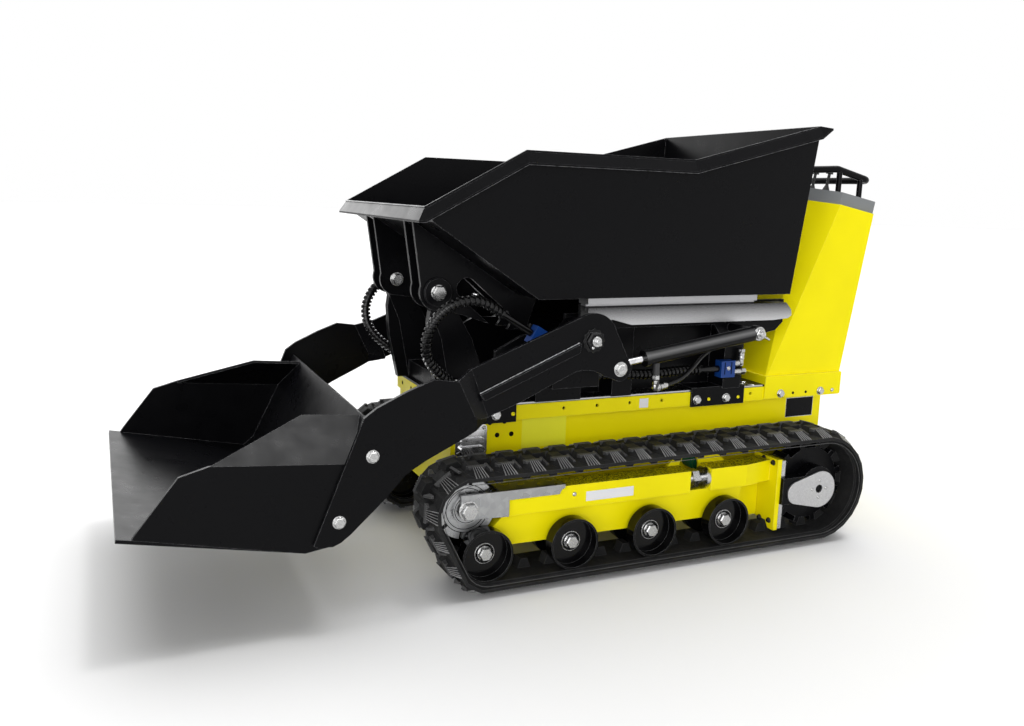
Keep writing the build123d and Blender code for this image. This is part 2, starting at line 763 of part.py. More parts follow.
with BuildPart() as handlebar:
    rail_points = (
        (handle_front_x, handle_half_width - 40, handle_high_z),
        (console_chamfer_x, handle_half_width, handle_high_z + 6),
        (handle_rear_x, handle_half_width, handle_rear_z),
        (handle_rear_x, -handle_half_width, handle_rear_z),
        (console_chamfer_x, -handle_half_width, handle_high_z + 6),
        (handle_front_x, -(handle_half_width - 40), handle_high_z),
    )
    with BuildLine() as rail:
        FilletPolyline(*rail_points, radius=22)
    with BuildSketch(Plane(origin=rail.line @ 0, z_dir=rail.line % 0)):
        Circle(handle_radius)
    sweep()
    for side in (1, -1):
        for x, drop in ((console_chamfer_x - 10, 4.0), (handle_rear_x + 34, 14.0)):
            share = (x - console_top_rear_x) / (console_top_front_x - console_top_rear_x)
            foot_z = console_top_rear_z + share * (console_top_front_z - console_top_rear_z)
            foot_z += cap_thickness / cos(cap_lean) + post_radius * tan(cap_lean) + 2 * running_gap
            top_z = handle_rear_z + (x - handle_rear_x) / (console_chamfer_x - handle_rear_x) * (
                handle_high_z + 6 - handle_rear_z
            )
            start = (x, side * handle_half_width, foot_z)
            end = (x, side * handle_half_width, top_z)
            add_rod(start, end, post_radius)
write("handlebar", handlebar.part)

with BuildPart() as control_levers:
    for y in (-120.0, -60.0, 0.0, 60.0, 120.0):
        base = cap_plane.from_local_coords(Vector(cap_length / 2, y, cap_thickness + running_gap))
        with BuildSketch(Plane(origin=base, z_dir=cap_plane.z_dir)):
            Circle(16)
        extrude(amount=28, taper=22)
        top = base + cap_plane.z_dir * 62
        add_rod(tuple(base), tuple(top), 4.5)
        with BuildSketch(Plane(origin=top, z_dir=cap_plane.z_dir)):
            Circle(11)
        extrude(amount=16, taper=12)
write("control_levers", control_levers.part)

# ---- Hopper: one open flared shell with a folded rim ------------------------------------------
hopper_profile = (
    (hopper_low_front_x, hopper_low_z),
    (hopper_nose_x, hopper_nose_z),
    (hopper_lip_x, hopper_lip_z),
    (hopper_knuckle_x, hopper_knuckle_z),
    (hopper_step_x, hopper_step_z),
    (hopper_rear_top_x, hopper_rear_top_z),
    (hopper_low_rear_x, hopper_low_z),
)
flare = (hopper_top_half_width - hopper_low_half_width) / (hopper_rear_top_z - hopper_low_z)


def add_flange(*corners):
    """Add a flat piece of the hopper's rim; its neighbours meet it face to face."""
    outline = Wire.make_polygon([Vector(*corner) for corner in corners], close=True)
    extrude(Face(outline), amount=hopper_wall, dir=(0, 0, -1))


def hopper_half_width(z):
    """Outer half width of the flared hopper at a height."""
    return hopper_low_half_width + flare * (z - hopper_low_z)


with BuildPart() as hopper_shell:
    with BuildSketch(side_plane(hopper_top_half_width + 5)):
        Polygon(*hopper_profile, align=None)
    extrude(amount=2 * (hopper_top_half_width + 5))
    for side in (1, -1):
        wall_plane = Plane(
            origin=(0, side * hopper_low_half_width, hopper_low_z),
            x_dir=(1, 0, 0),
            z_dir=(0, side, -flare),
        )
        split(bisect_by=wall_plane, keep=Keep.BOTTOM)
    top_faces = [
        face
        for face in hopper_shell.faces()
        if face.normal_at().Z > 0.5 and face.center().Z > hopper_lip_z
    ]
    offset(amount=-hopper_wall, openings=top_faces)
    lip_edge_x = hopper_lip_x - hopper_wall / 2
    rear_edge_x = hopper_rear_top_x + hopper_wall / 2
    rim_line = (
        (lip_edge_x, hopper_lip_z),
        (hopper_knuckle_x, hopper_knuckle_z),
        (hopper_step_x, hopper_step_z),
        (rear_edge_x, hopper_rear_top_z),
    )
    lip_half = hopper_half_width(hopper_lip_z) - hopper_wall / 2
    rear_half = hopper_half_width(hopper_rear_top_z) - hopper_wall / 2
    front_x = hopper_lip_x + rim_flange
    rear_x = hopper_rear_top_x - rim_drop
    for side in (1, -1):
        out = side * rim_flange
        for (x1, z1), (x2, z2) in zip(rim_line, rim_line[1:]):
            y1 = side * (hopper_half_width(z1) - hopper_wall / 2)
            y2 = side * (hopper_half_width(z2) - hopper_wall / 2)
            add_flange(
                (x1, y1, z1),
                (x2, y2, z2),
                (x2, y2 + out, z2 - rim_drop),
                (x1, y1 + out, z1 - rim_drop),
            )
        lip_y = side * lip_half
        add_flange(
            (lip_edge_x, lip_y, hopper_lip_z),
            (lip_edge_x, lip_y + out, hopper_lip_z - rim_drop),
            (front_x, lip_y + out, hopper_lip_z - rim_drop),
        )
        rear_y = side * rear_half
        add_flange(
            (rear_edge_x, rear_y, hopper_rear_top_z),
            (rear_edge_x, rear_y + out, hopper_rear_top_z - rim_drop),
            (rear_x, rear_y + out, hopper_rear_top_z - hopper_wall),
        )
    add_flange(
        (lip_edge_x, -lip_half, hopper_lip_z),
        (lip_edge_x, lip_half, hopper_lip_z),
        (front_x, lip_half + rim_flange, hopper_lip_z - rim_drop),
        (front_x, -lip_half - rim_flange, hopper_lip_z - rim_drop),
    )
    add_flange(
        (rear_edge_x, -rear_half, hopper_rear_top_z),
        (rear_edge_x, rear_half, hopper_rear_top_z),
        (rear_x, rear_half + rim_flange, hopper_rear_top_z - hopper_wall),
        (rear_x, -rear_half - rim_flange, hopper_rear_top_z - hopper_wall),
    )
write("hopper_shell", hopper_shell.part)

# ---- Hopper brackets: plates under the front wall that turn on the hopper's pins ---------------
with BuildPart() as hopper_brackets:
    for side in (1, -1):
        for near_y in (bracket_outer_y, bracket_inner_y):
            outer_y = near_y if side == 1 else -near_y + bracket_plate
            with BuildSketch(side_plane(outer_y)):
                Polygon(
                    (hopper_nose_x + 2, hopper_nose_z - 1.5),
                    (hopper_pivot_x + 42, hopper_pivot_z + 14),
                    (hopper_pivot_x + 14, hopper_pivot_z - 43),
                    (hopper_pivot_x - 40, hopper_pivot_z - 50),
                    (hopper_low_front_x + 20, hopper_low_z - 90),
                    (hopper_low_front_x - 30, hopper_low_z - 90),
                    (hopper_low_front_x - 60, hopper_low_z - running_gap),
                    (hopper_low_front_x, hopper_low_z - running_gap),
                    align=None,
                )
                with Locations((hopper_pivot_x, hopper_pivot_z)):
                    Circle(45)
                    Circle(hopper_pin_radius + running_gap, mode=Mode.SUBTRACT)
                with Locations(Location((185, 685), (0, 0, 41))):
                    SlotCenterToCenter(125, 54, mode=Mode.SUBTRACT)
            extrude(amount=bracket_plate)
write("hopper_brackets", hopper_brackets.part)

# ---- Feet: folded plates that hook the black frames over the chassis rim ----------------------
foot_thickness = 6.0
foot_low_z = rim_low_z - 3


def add_foot(middle_x, length, inner_y, side):
    """Add a folded plate: flat on the deck, then down over the rim's side."""
    outer_y = rim_half_width + running_gap + foot_thickness
    with BuildSketch(Plane.XY.offset(deck_high_z)) as flat:
        with Locations((middle_x, side * (inner_y + outer_y) / 2)):
            Rectangle(length, outer_y - inner_y)
    extrude(flat.sketch, amount=foot_thickness)
    with BuildSketch(Plane.XY.offset(foot_low_z)) as apron:
        with Locations((middle_x, side * (outer_y - foot_thickness / 2))):
            Rectangle(length, foot_thickness)
    extrude(apron.sketch, amount=deck_high_z - foot_low_z)


# ---- Subframe: uprights for the hopper, bearers for the arms, platform for the hopper's seat ---
upright_outer_y = 190.0
upright_width = 28.0
bearer_outer_y = 345.0
bearer_width = 45.0
bearer_radius = 42.0
with BuildPart() as subframe_front:
    for side in (1, -1):
        outer_y = upright_outer_y if side == 1 else -upright_outer_y + upright_width
        with BuildSketch(side_plane(outer_y)):
            Polygon(
                (hopper_pivot_x - 30, hopper_pivot_z),
                (hopper_pivot_x + 30, hopper_pivot_z),
                (box_front_x + 20, 600),
                (box_front_x - 10, deck_high_z),
                (box_front_x - 120, deck_high_z),
                (box_front_x - 60, 600),
                align=None,
            )
            with Locations((hopper_pivot_x, hopper_pivot_z)):
                Circle(30)
        extrude(amount=upright_width)
        start = (hopper_pivot_x, side * (bracket_inner_y - bracket_plate - 8), hopper_pivot_z)
        end = (hopper_pivot_x, side * (bracket_outer_y + 6), hopper_pivot_z)
        add_rod(start, end, hopper_pin_radius)
        add_foot(box_front_x - 90, 150.0, upright_outer_y - 10, side)
        # block on the foot with the gland that the looped hose ends in
        with BuildSketch(Plane.XY.offset(deck_high_z)) as block:
            with Locations((loop_hose_route[-1][0] - 44, side * (rim_half_width - 17))):
                Rectangle(46, 46)
        extrude(block.sketch, amount=50)
        end, before = (Vector(x, side * y, z) for x, y, z in loop_hose_route[:-3:-1])
        add_rod(tuple(end), tuple(end + (end - before).normalized() * 42), loop_hose_radius + 4)
    with BuildSketch(Plane.XY.offset(deck_high_z)):
        with Locations((box_front_x - 35, 0)):
            Rectangle(50, 2 * (upright_outer_y - upright_width))
    extrude(amount=48)
write("subframe_front", subframe_front.part)

clamp_inner_y = 285.0
clamp_tab_thickness = 8.0
clamp_tab_outline = (
    (arm_pivot_x + 20, 520.0),
    (arm_pivot_x + 70, 520.0),
    (arm_pivot_x + 113, 605.0),
    (arm_pivot_x + 107, 646.0),
    (arm_pivot_x + 75, 628.0),
)
with BuildPart() as arm_bearer:
    with BuildSketch(side_plane(bearer_outer_y)):
        Polygon(
            (arm_pivot_x - 36, arm_pivot_z),
            (arm_pivot_x + 36, arm_pivot_z),
            (arm_pivot_x + 70, 520),
            (arm_pivot_x - 60, 520),
            align=None,
        )
        with Locations((arm_pivot_x, arm_pivot_z)):
            Circle(bearer_radius)
    extrude(amount=bearer_width)
    with BuildSketch(Plane.XY.offset(deck_high_z)):
        with Locations((arm_pivot_x + 5, 222)):
            Rectangle(130, 60)
    extrude(amount=520 - deck_high_z)
    with BuildSketch(Plane.XY.offset(490)):
        with Locations((arm_pivot_x + 5, (bearer_outer_y + 222) / 2)):
            Rectangle(130, bearer_outer_y - 222)
    extrude(amount=30)
    add_rod(
        (arm_pivot_x, bearer_outer_y, arm_pivot_z),
        (arm_pivot_x, arm_upper_y + arm_plate + 12, arm_pivot_z),
        arm_pin_radius,
    )
    # upright tab that carries the hose clamp
    with BuildSketch(side_plane(clamp_inner_y)):
        Polygon(*clamp_tab_outline, align=None)
    extrude(amount=clamp_tab_thickness)
write_pair("arm_bearer", arm_bearer.part)

platform_plate = 12.0
platform_inner_y = 250.0
platform_low_z = 622.0
platform_front_x = -60.0
rest_low_z = 687.0
platform_outline = (
    (platform_front_x, rest_low_z),
    (platform_front_x, platform_low_z + 30),
    (platform_front_x - 60, platform_low_z),
    (-480.0, platform_low_z),
    (-504.0, 587.0),
    (-628.0, 587.0),
    (-690.0, 599.0),
    (-715.0, platform_low_z),
    (-713.0, rest_low_z),
)
skirt_inner_y = 168.0
skirt_outline = (
    (-650.0, deck_high_z),
    (140.0, deck_high_z),
    (140.0, 560.0),
    (60.0, 600.0),
    (platform_front_x, 600.0),
    (platform_front_x, platform_low_z + 30),
    (-650.0, platform_low_z + 30),
)
post_size = (60.0, 70.0)
post_spacing = 360.0
post_middle_x = -380.0
platform_outer_y = platform_inner_y + platform_plate
with BuildPart() as platform:
    for side in (1, -1):
        outer_y = platform_outer_y if side == 1 else -platform_inner_y
        with BuildSketch(side_plane(outer_y)):
            Polygon(*platform_outline, align=None)
        extrude(amount=platform_plate)
        outer_y = skirt_inner_y + platform_plate if side == 1 else -skirt_inner_y
        with BuildSketch(side_plane(outer_y)):
            Polygon(*skirt_outline, align=None)
        extrude(amount=platform_plate)
        start = (lift_base_x, side * platform_outer_y, lift_base_z)
        end = (lift_base_x, side * (lift_y + lift_eye_width / 2 + 10), lift_base_z)
        add_rod(start, end, 12)
        add_foot(post_middle_x - 140, 180.0, platform_inner_y - post_size[1], side)
    with BuildSketch(Plane.XY.offset(platform_low_z + 5)):
        with Locations((post_middle_x - post_spacing / 2, 0)):
            Rectangle(post_size[0], 2 * platform_inner_y)
    extrude(amount=40)
    with BuildSketch(Plane.XY.offset(deck_high_z)):
        with GridLocations(post_spacing, 2 * platform_inner_y - post_size[1], 2, 2):
            with Locations((post_middle_x, 0)):
                Rectangle(*post_size)
    extrude(amount=platform_low_z + 30 - deck_high_z)
write("platform", platform.part)

rest_strip_low_z = 690.0
rest_strip_rear_x = -587.0
rest_panel_high_z = 682.0
rest_outer_y = 300.0
rest_panel_outline = (
    (platform_front_x - 1, rest_panel_high_z),
    (platform_front_x - 1, 650.0),
    (-135.0, 650.0),
    (-190.0, 635.0),
    (-650.0, 634.0),
    (-700.0, 638.0),
    (-712.0, 646.0),
    (-709.0, 662.0),
    (-690.0, rest_panel_high_z),
)
with BuildPart() as rest_rail:
    # the strip that the hopper sits on, the panel under it and the narrower web between them
    with BuildSketch(side_plane(rest_outer_y)):
        Polygon(
            (platform_front_x, hopper_low_z - running_gap),
            (rest_strip_rear_x, hopper_low_z - running_gap),
            (rest_strip_rear_x, rest_strip_low_z),
            (platform_front_x, rest_strip_low_z),
            align=None,
        )
    extrude(amount=rest_outer_y - platform_inner_y)
    with BuildSketch(side_plane(rest_outer_y - 12)):
        Polygon(
            (platform_front_x, rest_strip_low_z),
            (rest_strip_rear_x, rest_strip_low_z),
            (rest_strip_rear_x, rest_panel_high_z - 10),
            (platform_front_x, rest_panel_high_z - 10),
            align=None,
        )
    extrude(amount=rest_outer_y - 12 - platform_outer_y - running_gap)
    with BuildSketch(side_plane(rest_outer_y)):
        Polygon(*rest_panel_outline, align=None)
    extrude(amount=rest_outer_y - platform_outer_y - running_gap)
write_pair("rest_rail", rest_rail.part)

# ---- Loader arm: a plate that steps outwards to the bucket's side -----------------------------
joggle_high = (301.0, 564.0)
joggle_low = (258.0, 450.0)
joggle_run = 40.0
rib_thickness = 8.0
rib_outline = ((266.0, 492.0), (276.0, 506.0), (20.6, 614.0), (23.3, 592.0))
with BuildPart() as arm:
    with BuildSketch(side_plane(arm_upper_y + arm_plate)):
        with BuildLine():
            upper = Polyline(joggle_low, (172, 481), (90, 519), (30, 545))
            under = ThreePointArc(upper @ 1, (-8, 547), (-48, 531))
            Line(under @ 1, (rod_pin_x + 18, rod_pin_z - 24))
            lobe = ThreePointArc(
                (rod_pin_x + 18, rod_pin_z - 24),
                (rod_pin_x - 10, rod_pin_z - 28),
                (rod_pin_x - 29, rod_pin_z + 8),
            )
            Line(lobe @ 1, (arm_pivot_x - 61, arm_pivot_z + 25))
            crown = ThreePointArc(
                (arm_pivot_x - 61, arm_pivot_z + 25),
                (arm_pivot_x - 32, arm_pivot_z + 58),
                (arm_pivot_x + 20, arm_pivot_z + 63),
            )
            Line(crown @ 1, joggle_high)
            Line(joggle_high, joggle_low)
        make_face()
        with Locations((arm_pivot_x, arm_pivot_z)):
            Circle(arm_pin_radius + running_gap, mode=Mode.SUBTRACT)
    extrude(amount=arm_plate)
    with BuildSketch(side_plane(arm_upper_y + arm_plate + rib_thickness)):
        Polygon(*rib_outline, align=None)
    extrude(amount=rib_thickness)
    with BuildSketch(side_plane(arm_lower_y + arm_plate)):
        with BuildLine():
            Polyline(
                (joggle_low[0] + joggle_run, joggle_low[1] + 6),
                (404, 439),
                (454, 420),
                (480, 398),
                (565, 319),
                (615, 218),
            )
            ThreePointArc((615, 218), (640, 200), (667, 207))
            Polyline((667, 207), (557, 479), (528, 500), (458, 533), (400, 555))
            Line((400, 555), (joggle_high[0] + joggle_run, joggle_high[1] - 17))
            Line(
                (joggle_high[0] + joggle_run, joggle_high[1] - 17),
                (joggle_low[0] + joggle_run, joggle_low[1] + 6),
            )
        make_face()
    extrude(amount=arm_plate)
    # the slanted web between the two bends
    outer_upper_y = arm_upper_y + arm_plate
    outer_lower_y = arm_lower_y + arm_plate
    web = Solid.make_loft(
        [
            Wire.make_polygon(
                [
                    Vector(joggle_high[0] - 4, arm_upper_y, joggle_high[1] + 2),
                    Vector(joggle_high[0] - 4, outer_upper_y, joggle_high[1] + 2),
                    Vector(joggle_low[0] - 4, outer_upper_y, joggle_low[1]),
                    Vector(joggle_low[0] - 4, arm_upper_y, joggle_low[1]),
                ]
            ),
            Wire.make_polygon(
                [
                    Vector(joggle_high[0] + joggle_run + 4, arm_lower_y, joggle_high[1] - 17),
                    Vector(joggle_high[0] + joggle_run + 4, outer_lower_y, joggle_high[1] - 17),
                    Vector(joggle_low[0] + joggle_run + 4, outer_lower_y, joggle_low[1] + 6),
                    Vector(joggle_low[0] + joggle_run + 4, arm_lower_y, joggle_low[1] + 6),
                ]
            ),
        ],
        ruled=True,
    )
    add(web)
    # spacer boss of the rod's pin, on the inner face
    add_rod((rod_pin_x, arm_upper_y + 1, rod_pin_z), (rod_pin_x, lift_y + 14, rod_pin_z), 12)
write_pair("arm", arm.part)

# ---- Bucket ---------------------------------------------------------------------------------
side_front = (1025.0, 264.5)
side_low_rear = (684.0, 189.0)
side_heel = (615.0, 199.5)
fold_rear = (572.0, 378.0)
fold_front = (874.0, 401.0)
side_kink = (933.0, 384.0)
shoulder_front = (667.0, 470.0)
shoulder_rear_x = 528.0
back_low = (652.0, 218.0)
shoulder_half = 340.0
fold_slope = (fold_front[1] - fold_rear[1]) / (fold_front[0] - fold_rear[0])
shoulder_rise = shoulder_front[1] - fold_front[1] - fold_slope * (shoulder_front[0] - fold_front[0])
shoulder_rear = (shoulder_rear_x, fold_rear[1] + fold_slope * (shoulder_rear_x - fold_rear[0]) + shoulder_rise)
with BuildPart() as bucket:
    for side in (1, -1):
        outer_y = bucket_half_width if side == 1 else -bucket_half_width + bucket_plate
        with BuildSketch(side_plane(outer_y)):
            Polygon(
                side_front, side_low_rear, side_heel, fold_rear, fold_front, side_kink,
                (side_front[0] - 8, side_front[1] + 12), align=None,
            )
        extrude(amount=bucket_plate)
        y_side = side * bucket_half_width
        y_top = side * shoulder_half
        corners = (
            (fold_rear[0], y_side, fold_rear[1]),
            (fold_front[0], y_side, fold_front[1]),
            (shoulder_front[0], y_top, shoulder_front[1]),
            (shoulder_rear[0], y_top, shoulder_rear[1]),
        )
        add_plate(corners if side == 1 else corners[::-1], bucket_plate)
    with BuildSketch(side_plane(bucket_half_width - 1)):
        with BuildLine():
            floor = Polyline(
                (bucket_lip_x, bucket_lip_z), side_low_rear, back_low, fold_rear, shoulder_rear
            )
            offset(amount=bucket_plate, side=Side.RIGHT)
        make_face()
    extrude(amount=2 * (bucket_half_width - 1))
write("bucket", bucket.part)

# ---- Lift cylinders: barrel on the platform's pin, rod to the arm ------------------------------


def along(start, end):
    """Plane at the start of a line, looking along it."""
    return Plane(origin=start, z_dir=Vector(*end) - Vector(*start))


def add_eye(centre, width, outer_radius, bore_radius):
    """Add a cross-bored eye whose hole runs along Y."""
    with BuildSketch(side_plane(centre[1] + width / 2)) as ring:
        with Locations((centre[0], centre[2])):
            Circle(outer_radius)
    extrude(ring.sketch, amount=width)
    with BuildSketch(side_plane(centre[1] + width / 2)) as hole:
        with Locations((centre[0], centre[2])):
            Circle(bore_radius)
    extrude(hole.sketch, amount=width, mode=Mode.SUBTRACT)


lift_base = (lift_base_x, lift_y, lift_base_z)
lift_end = (rod_pin_x, lift_y, rod_pin_z)
lift_plane = along(lift_base, lift_end)
lift_rest = (Vector(*lift_end) - Vector(*lift_base)).length
piston_radius = 12.5
pin_radius = 12.0
eye_radius = 20.0
gland_length = 12.0
port_x = -226.8
port_radius = 8.0
with BuildPart() as lift_barrel:
    with BuildSketch(lift_plane.offset(14)):
        Circle(lift_barrel_radius)
    extrude(amount=lift_barrel_length - 14)
    with BuildSketch(lift_plane.offset(lift_barrel_length - gland_length)):
        Circle(lift_barrel_radius + 1.5)
    extrude(amount=gland_length)
    add_eye(lift_base, lift_eye_width, eye_radius, pin_radius + running_gap)
    with BuildSketch(lift_plane.offset(50)):
        Circle(piston_radius + running_gap)
    extrude(amount=lift_barrel_length - 50 - gland_length, mode=Mode.SUBTRACT)
    with BuildSketch(lift_plane.offset(lift_barrel_length - gland_length)):
        Circle(lift_rod_radius + running_gap)
    extrude(amount=gland_length, mode=Mode.SUBTRACT)
    # front port: a stub down to an elbow whose ferrule meets the hose
    first, second = Vector(*lift_hose_route[0]), Vector(*lift_hose_route[1])
    elbow = first + (first - second).normalized() * 36
    add_rod((port_x, lift_y, 549), (port_x, elbow.Y, elbow.Z - 6), port_radius)
    add_rod(tuple(elbow), tuple(first), port_radius)
    # rear port: a ferrule that runs into the barrel's wall
    last, before = Vector(*lift_hose_route[-1]), Vector(*lift_hose_route[-2])
    add_rod(tuple(last), tuple(last + (last - before).normalized() * 27), port_radius)
write_pair("lift_barrel", lift_barrel.part)

lift_rod_length = 310.0
with BuildPart() as lift_rod:
    with BuildSketch(lift_plane.offset(lift_rest - lift_rod_length)):
        Circle(lift_rod_radius)
    extrude(amount=lift_rod_length - 10)
    with BuildSketch(lift_plane.offset(lift_rest - lift_rod_length)):
        Circle(piston_radius)
    extrude(amount=20)
    add_eye(lift_end, lift_eye_width + 2, 17, pin_radius + running_gap)
write_pair("lift_rod", lift_rod.part)

# ---- Tip cylinder under the hopper ------------------------------------------------------------
tip_base = (tip_base_x, 0, tip_base_z)
tip_end = (tip_eye_x, 0, tip_eye_z)
tip_plane = along(tip_base, tip_end)
tip_rest = (Vector(*tip_end) - Vector(*tip_base)).length
tip_barrel_radius = 25.0
tip_rod_radius = 12.5
tip_piston_radius = 19.0
tip_barrel_length = 430.0
tip_rod_length = 345.0
with BuildPart() as tip_barrel:
    with BuildSketch(tip_plane.offset(18)):
        Circle(11)
    extrude(amount=30)
    with BuildSketch(tip_plane.offset(34)):
        Circle(tip_barrel_radius)
    extrude(amount=tip_barrel_length - 34)
    add_eye(tip_base, lift_eye_width, 24, 12 + running_gap)
    with BuildSketch(tip_plane.offset(60)):
        Circle(tip_piston_radius + running_gap)
    extrude(amount=tip_barrel_length - 60 - 15, mode=Mode.SUBTRACT)
    with BuildSketch(tip_plane.offset(tip_barrel_length - 15)):
        Circle(tip_rod_radius + running_gap)
    extrude(amount=15, mode=Mode.SUBTRACT)
write("tip_barrel", tip_barrel.part)

with BuildPart() as tip_rod:
    with BuildSketch(tip_plane.offset(tip_rest - tip_rod_length)):
        Circle(tip_rod_radius)
    extrude(amount=tip_rod_length - 12)
    with BuildSketch(tip_plane.offset(tip_rest - tip_rod_length)):
        Circle(tip_piston_radius)
    extrude(amount=25)
    add_eye(tip_end, lift_eye_width, 22, 12 + running_gap)
write("tip_rod", tip_rod.part)

tip_cheek = 10.0
tip_cheek_y = lift_eye_width / 2 + 1.0
with BuildPart() as tip_clevis:
    for inner_y in (tip_cheek_y, -tip_cheek_y - tip_cheek):
        with BuildSketch(side_plane(inner_y + tip_cheek)):
            Polygon(
                (tip_base_x - 40, deck_high_z),
                (tip_base_x + 40, deck_high_z),
                (tip_base_x + 22, tip_base_z),
                (tip_base_x - 22, tip_base_z),
                align=None,
            )
            with Locations((tip_base_x, tip_base_z)):
                Circle(22)
        extrude(amount=tip_cheek)
    add_rod((tip_base_x, tip_cheek_y, tip_base_z), (tip_base_x, -tip_cheek_y, tip_base_z), 12)
write("tip_clevis", tip_clevis.part)

with BuildPart() as tip_lug:
    for inner_y in (tip_cheek_y, -tip_cheek_y - tip_cheek):
        with BuildSketch(side_plane(inner_y + tip_cheek)):
            Polygon(
                (tip_eye_x - 45, hopper_low_z),
                (tip_eye_x - 7, hopper_low_z),
                (tip_eye_x + 22, tip_eye_z),
                (tip_eye_x - 22, tip_eye_z),
                align=None,
            )
            with Locations((tip_eye_x, tip_eye_z)):
                Circle(22)
                Circle(12, mode=Mode.SUBTRACT)
        extrude(amount=tip_cheek)
write("tip_lug", tip_lug.part)

# ---- Side lamp: three ribs on a plate at the chassis side --------------------------------------
lamp_plate = 6.0
rib_depth = 12.0
with BuildPart() as side_lamp:
    with BuildSketch(side_plane(box_half_width + lamp_plate)):
        with Locations((lamp_x, lamp_z)):
            RectangleRounded(lamp_size[0], lamp_size[1], 10)
    extrude(amount=lamp_plate)
    with BuildSketch(side_plane(box_half_width + lamp_plate + rib_depth)):
        with Locations((lamp_x, lamp_z)):
            with GridLocations(0, 22, 1, 3):
                RectangleRounded(lamp_size[0] - 22, 17, 7)
    extrude(amount=rib_depth)
write_pair("side_lamp", side_lamp.part)

# ---- Hoses and their clamps -------------------------------------------------------------------
clamp_length = 34.0
clamp_width = 30.0
clamp_height = 46.0


def hose(name, route, radius):
    """A plain tube along a route whose corners are rounded as widely as their runs allow."""
    places = [Vector(*place) for place in route]
    radii = []
    for before, corner, after in zip(places, places[1:], places[2:]):
        turn = (corner - before).get_angle(after - corner)
        shorter = min((corner - before).length, (after - corner).length)
        radii.append(0.45 * shorter / tan(turn * pi / 360))
    with BuildPart() as tube:
        with BuildLine() as path:
            FilletPolyline(*places, radius=radii)
        with BuildSketch(Plane(origin=path.line @ 0, z_dir=path.line % 0)):
            Circle(radius)
        sweep()
    length = path.wires()[0].length
    share = tube.part.volume / (pi * radius**2 * length)
    bends = " ".join(f"{bend:.0f}" for bend in radii)
    print(f"{name}: {length:.0f} mm long, bends {bends} mm, volume share {share:.4f}")
    return tube.part


for name, route, radius in (
    ("hose_loop", loop_hose_route, loop_hose_radius),
    ("hose_deck", deck_hose_route, deck_hose_radius),
    ("hose_lift", lift_hose_route, lift_hose_radius),
):
    write_pair(name, hose(name, route, radius))

clamp_start, clamp_next = Vector(*loop_hose_route[0]), Vector(*loop_hose_route[1])
clamp_plane = Plane(origin=clamp_start, x_dir=(0, 1, 0), z_dir=clamp_start - clamp_next)
with BuildPart() as front_clamp:
    with BuildSketch(clamp_plane):
        Rectangle(clamp_width, clamp_height)
    extrude(amount=clamp_length)
with BuildPart() as rear_clamp:
    with BuildSketch(Plane.XY.offset(deck_hose_route[-1][2] - clamp_height / 2)):
        with Locations((deck_hose_route[-1][0] - clamp_length / 2 - 6, platform_inner_y + clamp_width / 2)):
            Rectangle(clamp_length + 12, clamp_width)
    extrude(amount=clamp_height)
with BuildPart() as hose_clamps:
    for block in (front_clamp.part, rear_clamp.part):
        add(block)
        add(mirror(block, about=Plane.XZ))
write("hose_clamps", hose_clamps.part)
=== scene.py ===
# %% [markdown]
# # A tracked mini dumper
# The machine is a walk-behind electric dumper on rubber tracks, with a tipping hopper behind a bucket
# that loads it. Its steel shapes come from a CAD model, packed as one fixed frame. Blender adds the
# finishes, the hoses and the small fasteners. The frame could be copied into this file as meshes, but
# then a change in the CAD model would never reach the picture, so it is loaded instead.

# %% Load the frame
import json
import math

import bmesh
import bpy
from mathutils import Matrix, Vector


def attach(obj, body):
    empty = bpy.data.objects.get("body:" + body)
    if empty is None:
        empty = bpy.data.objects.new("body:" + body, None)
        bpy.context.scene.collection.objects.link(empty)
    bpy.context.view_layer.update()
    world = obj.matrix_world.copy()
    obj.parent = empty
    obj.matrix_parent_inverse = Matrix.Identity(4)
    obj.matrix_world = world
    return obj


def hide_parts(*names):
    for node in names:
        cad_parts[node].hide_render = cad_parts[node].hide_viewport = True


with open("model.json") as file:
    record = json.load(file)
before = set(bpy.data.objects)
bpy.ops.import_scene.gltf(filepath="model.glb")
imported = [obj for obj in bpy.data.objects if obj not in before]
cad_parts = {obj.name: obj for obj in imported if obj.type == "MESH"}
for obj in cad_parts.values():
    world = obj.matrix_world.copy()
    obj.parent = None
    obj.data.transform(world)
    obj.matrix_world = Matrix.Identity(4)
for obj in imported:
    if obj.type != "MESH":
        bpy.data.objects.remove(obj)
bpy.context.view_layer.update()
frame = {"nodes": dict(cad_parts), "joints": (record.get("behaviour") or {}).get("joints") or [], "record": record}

# %% [markdown]
# ## Camera
# A camera needs a place, a point to look at, a small roll about its own line of sight and a lens. The
# place is about as high as the hopper's rim, in front of the machine's left side. Looking at a point
# with to_track_quat keeps the numbers few, where a whole rotation matrix would say nothing.

# %% Place the camera
camera_place = Vector((1.055, 2.3064, 0.961))
camera_target = Vector((0.0095, 0.0, 0.4908))
camera_roll = math.radians(1.64)
camera_lens_mm = 32.18
camera_film_mm = 36.0

camera = bpy.data.objects.new("camera", bpy.data.cameras.new("camera"))
bpy.context.scene.collection.objects.link(camera)
camera.location = camera_place
camera.rotation_mode = "QUATERNION"
sight = (camera_target - camera_place).to_track_quat("-Z", "Y")
camera.rotation_quaternion = sight @ Matrix.Rotation(camera_roll, 3, "Z").to_quaternion()
camera.data.lens = camera_lens_mm
camera.data.sensor_width = camera_film_mm
bpy.context.scene.camera = camera
bpy.context.scene.view_settings.view_transform = "Standard"
print("camera", round((camera_target - camera_place).length, 2), "m from its target")

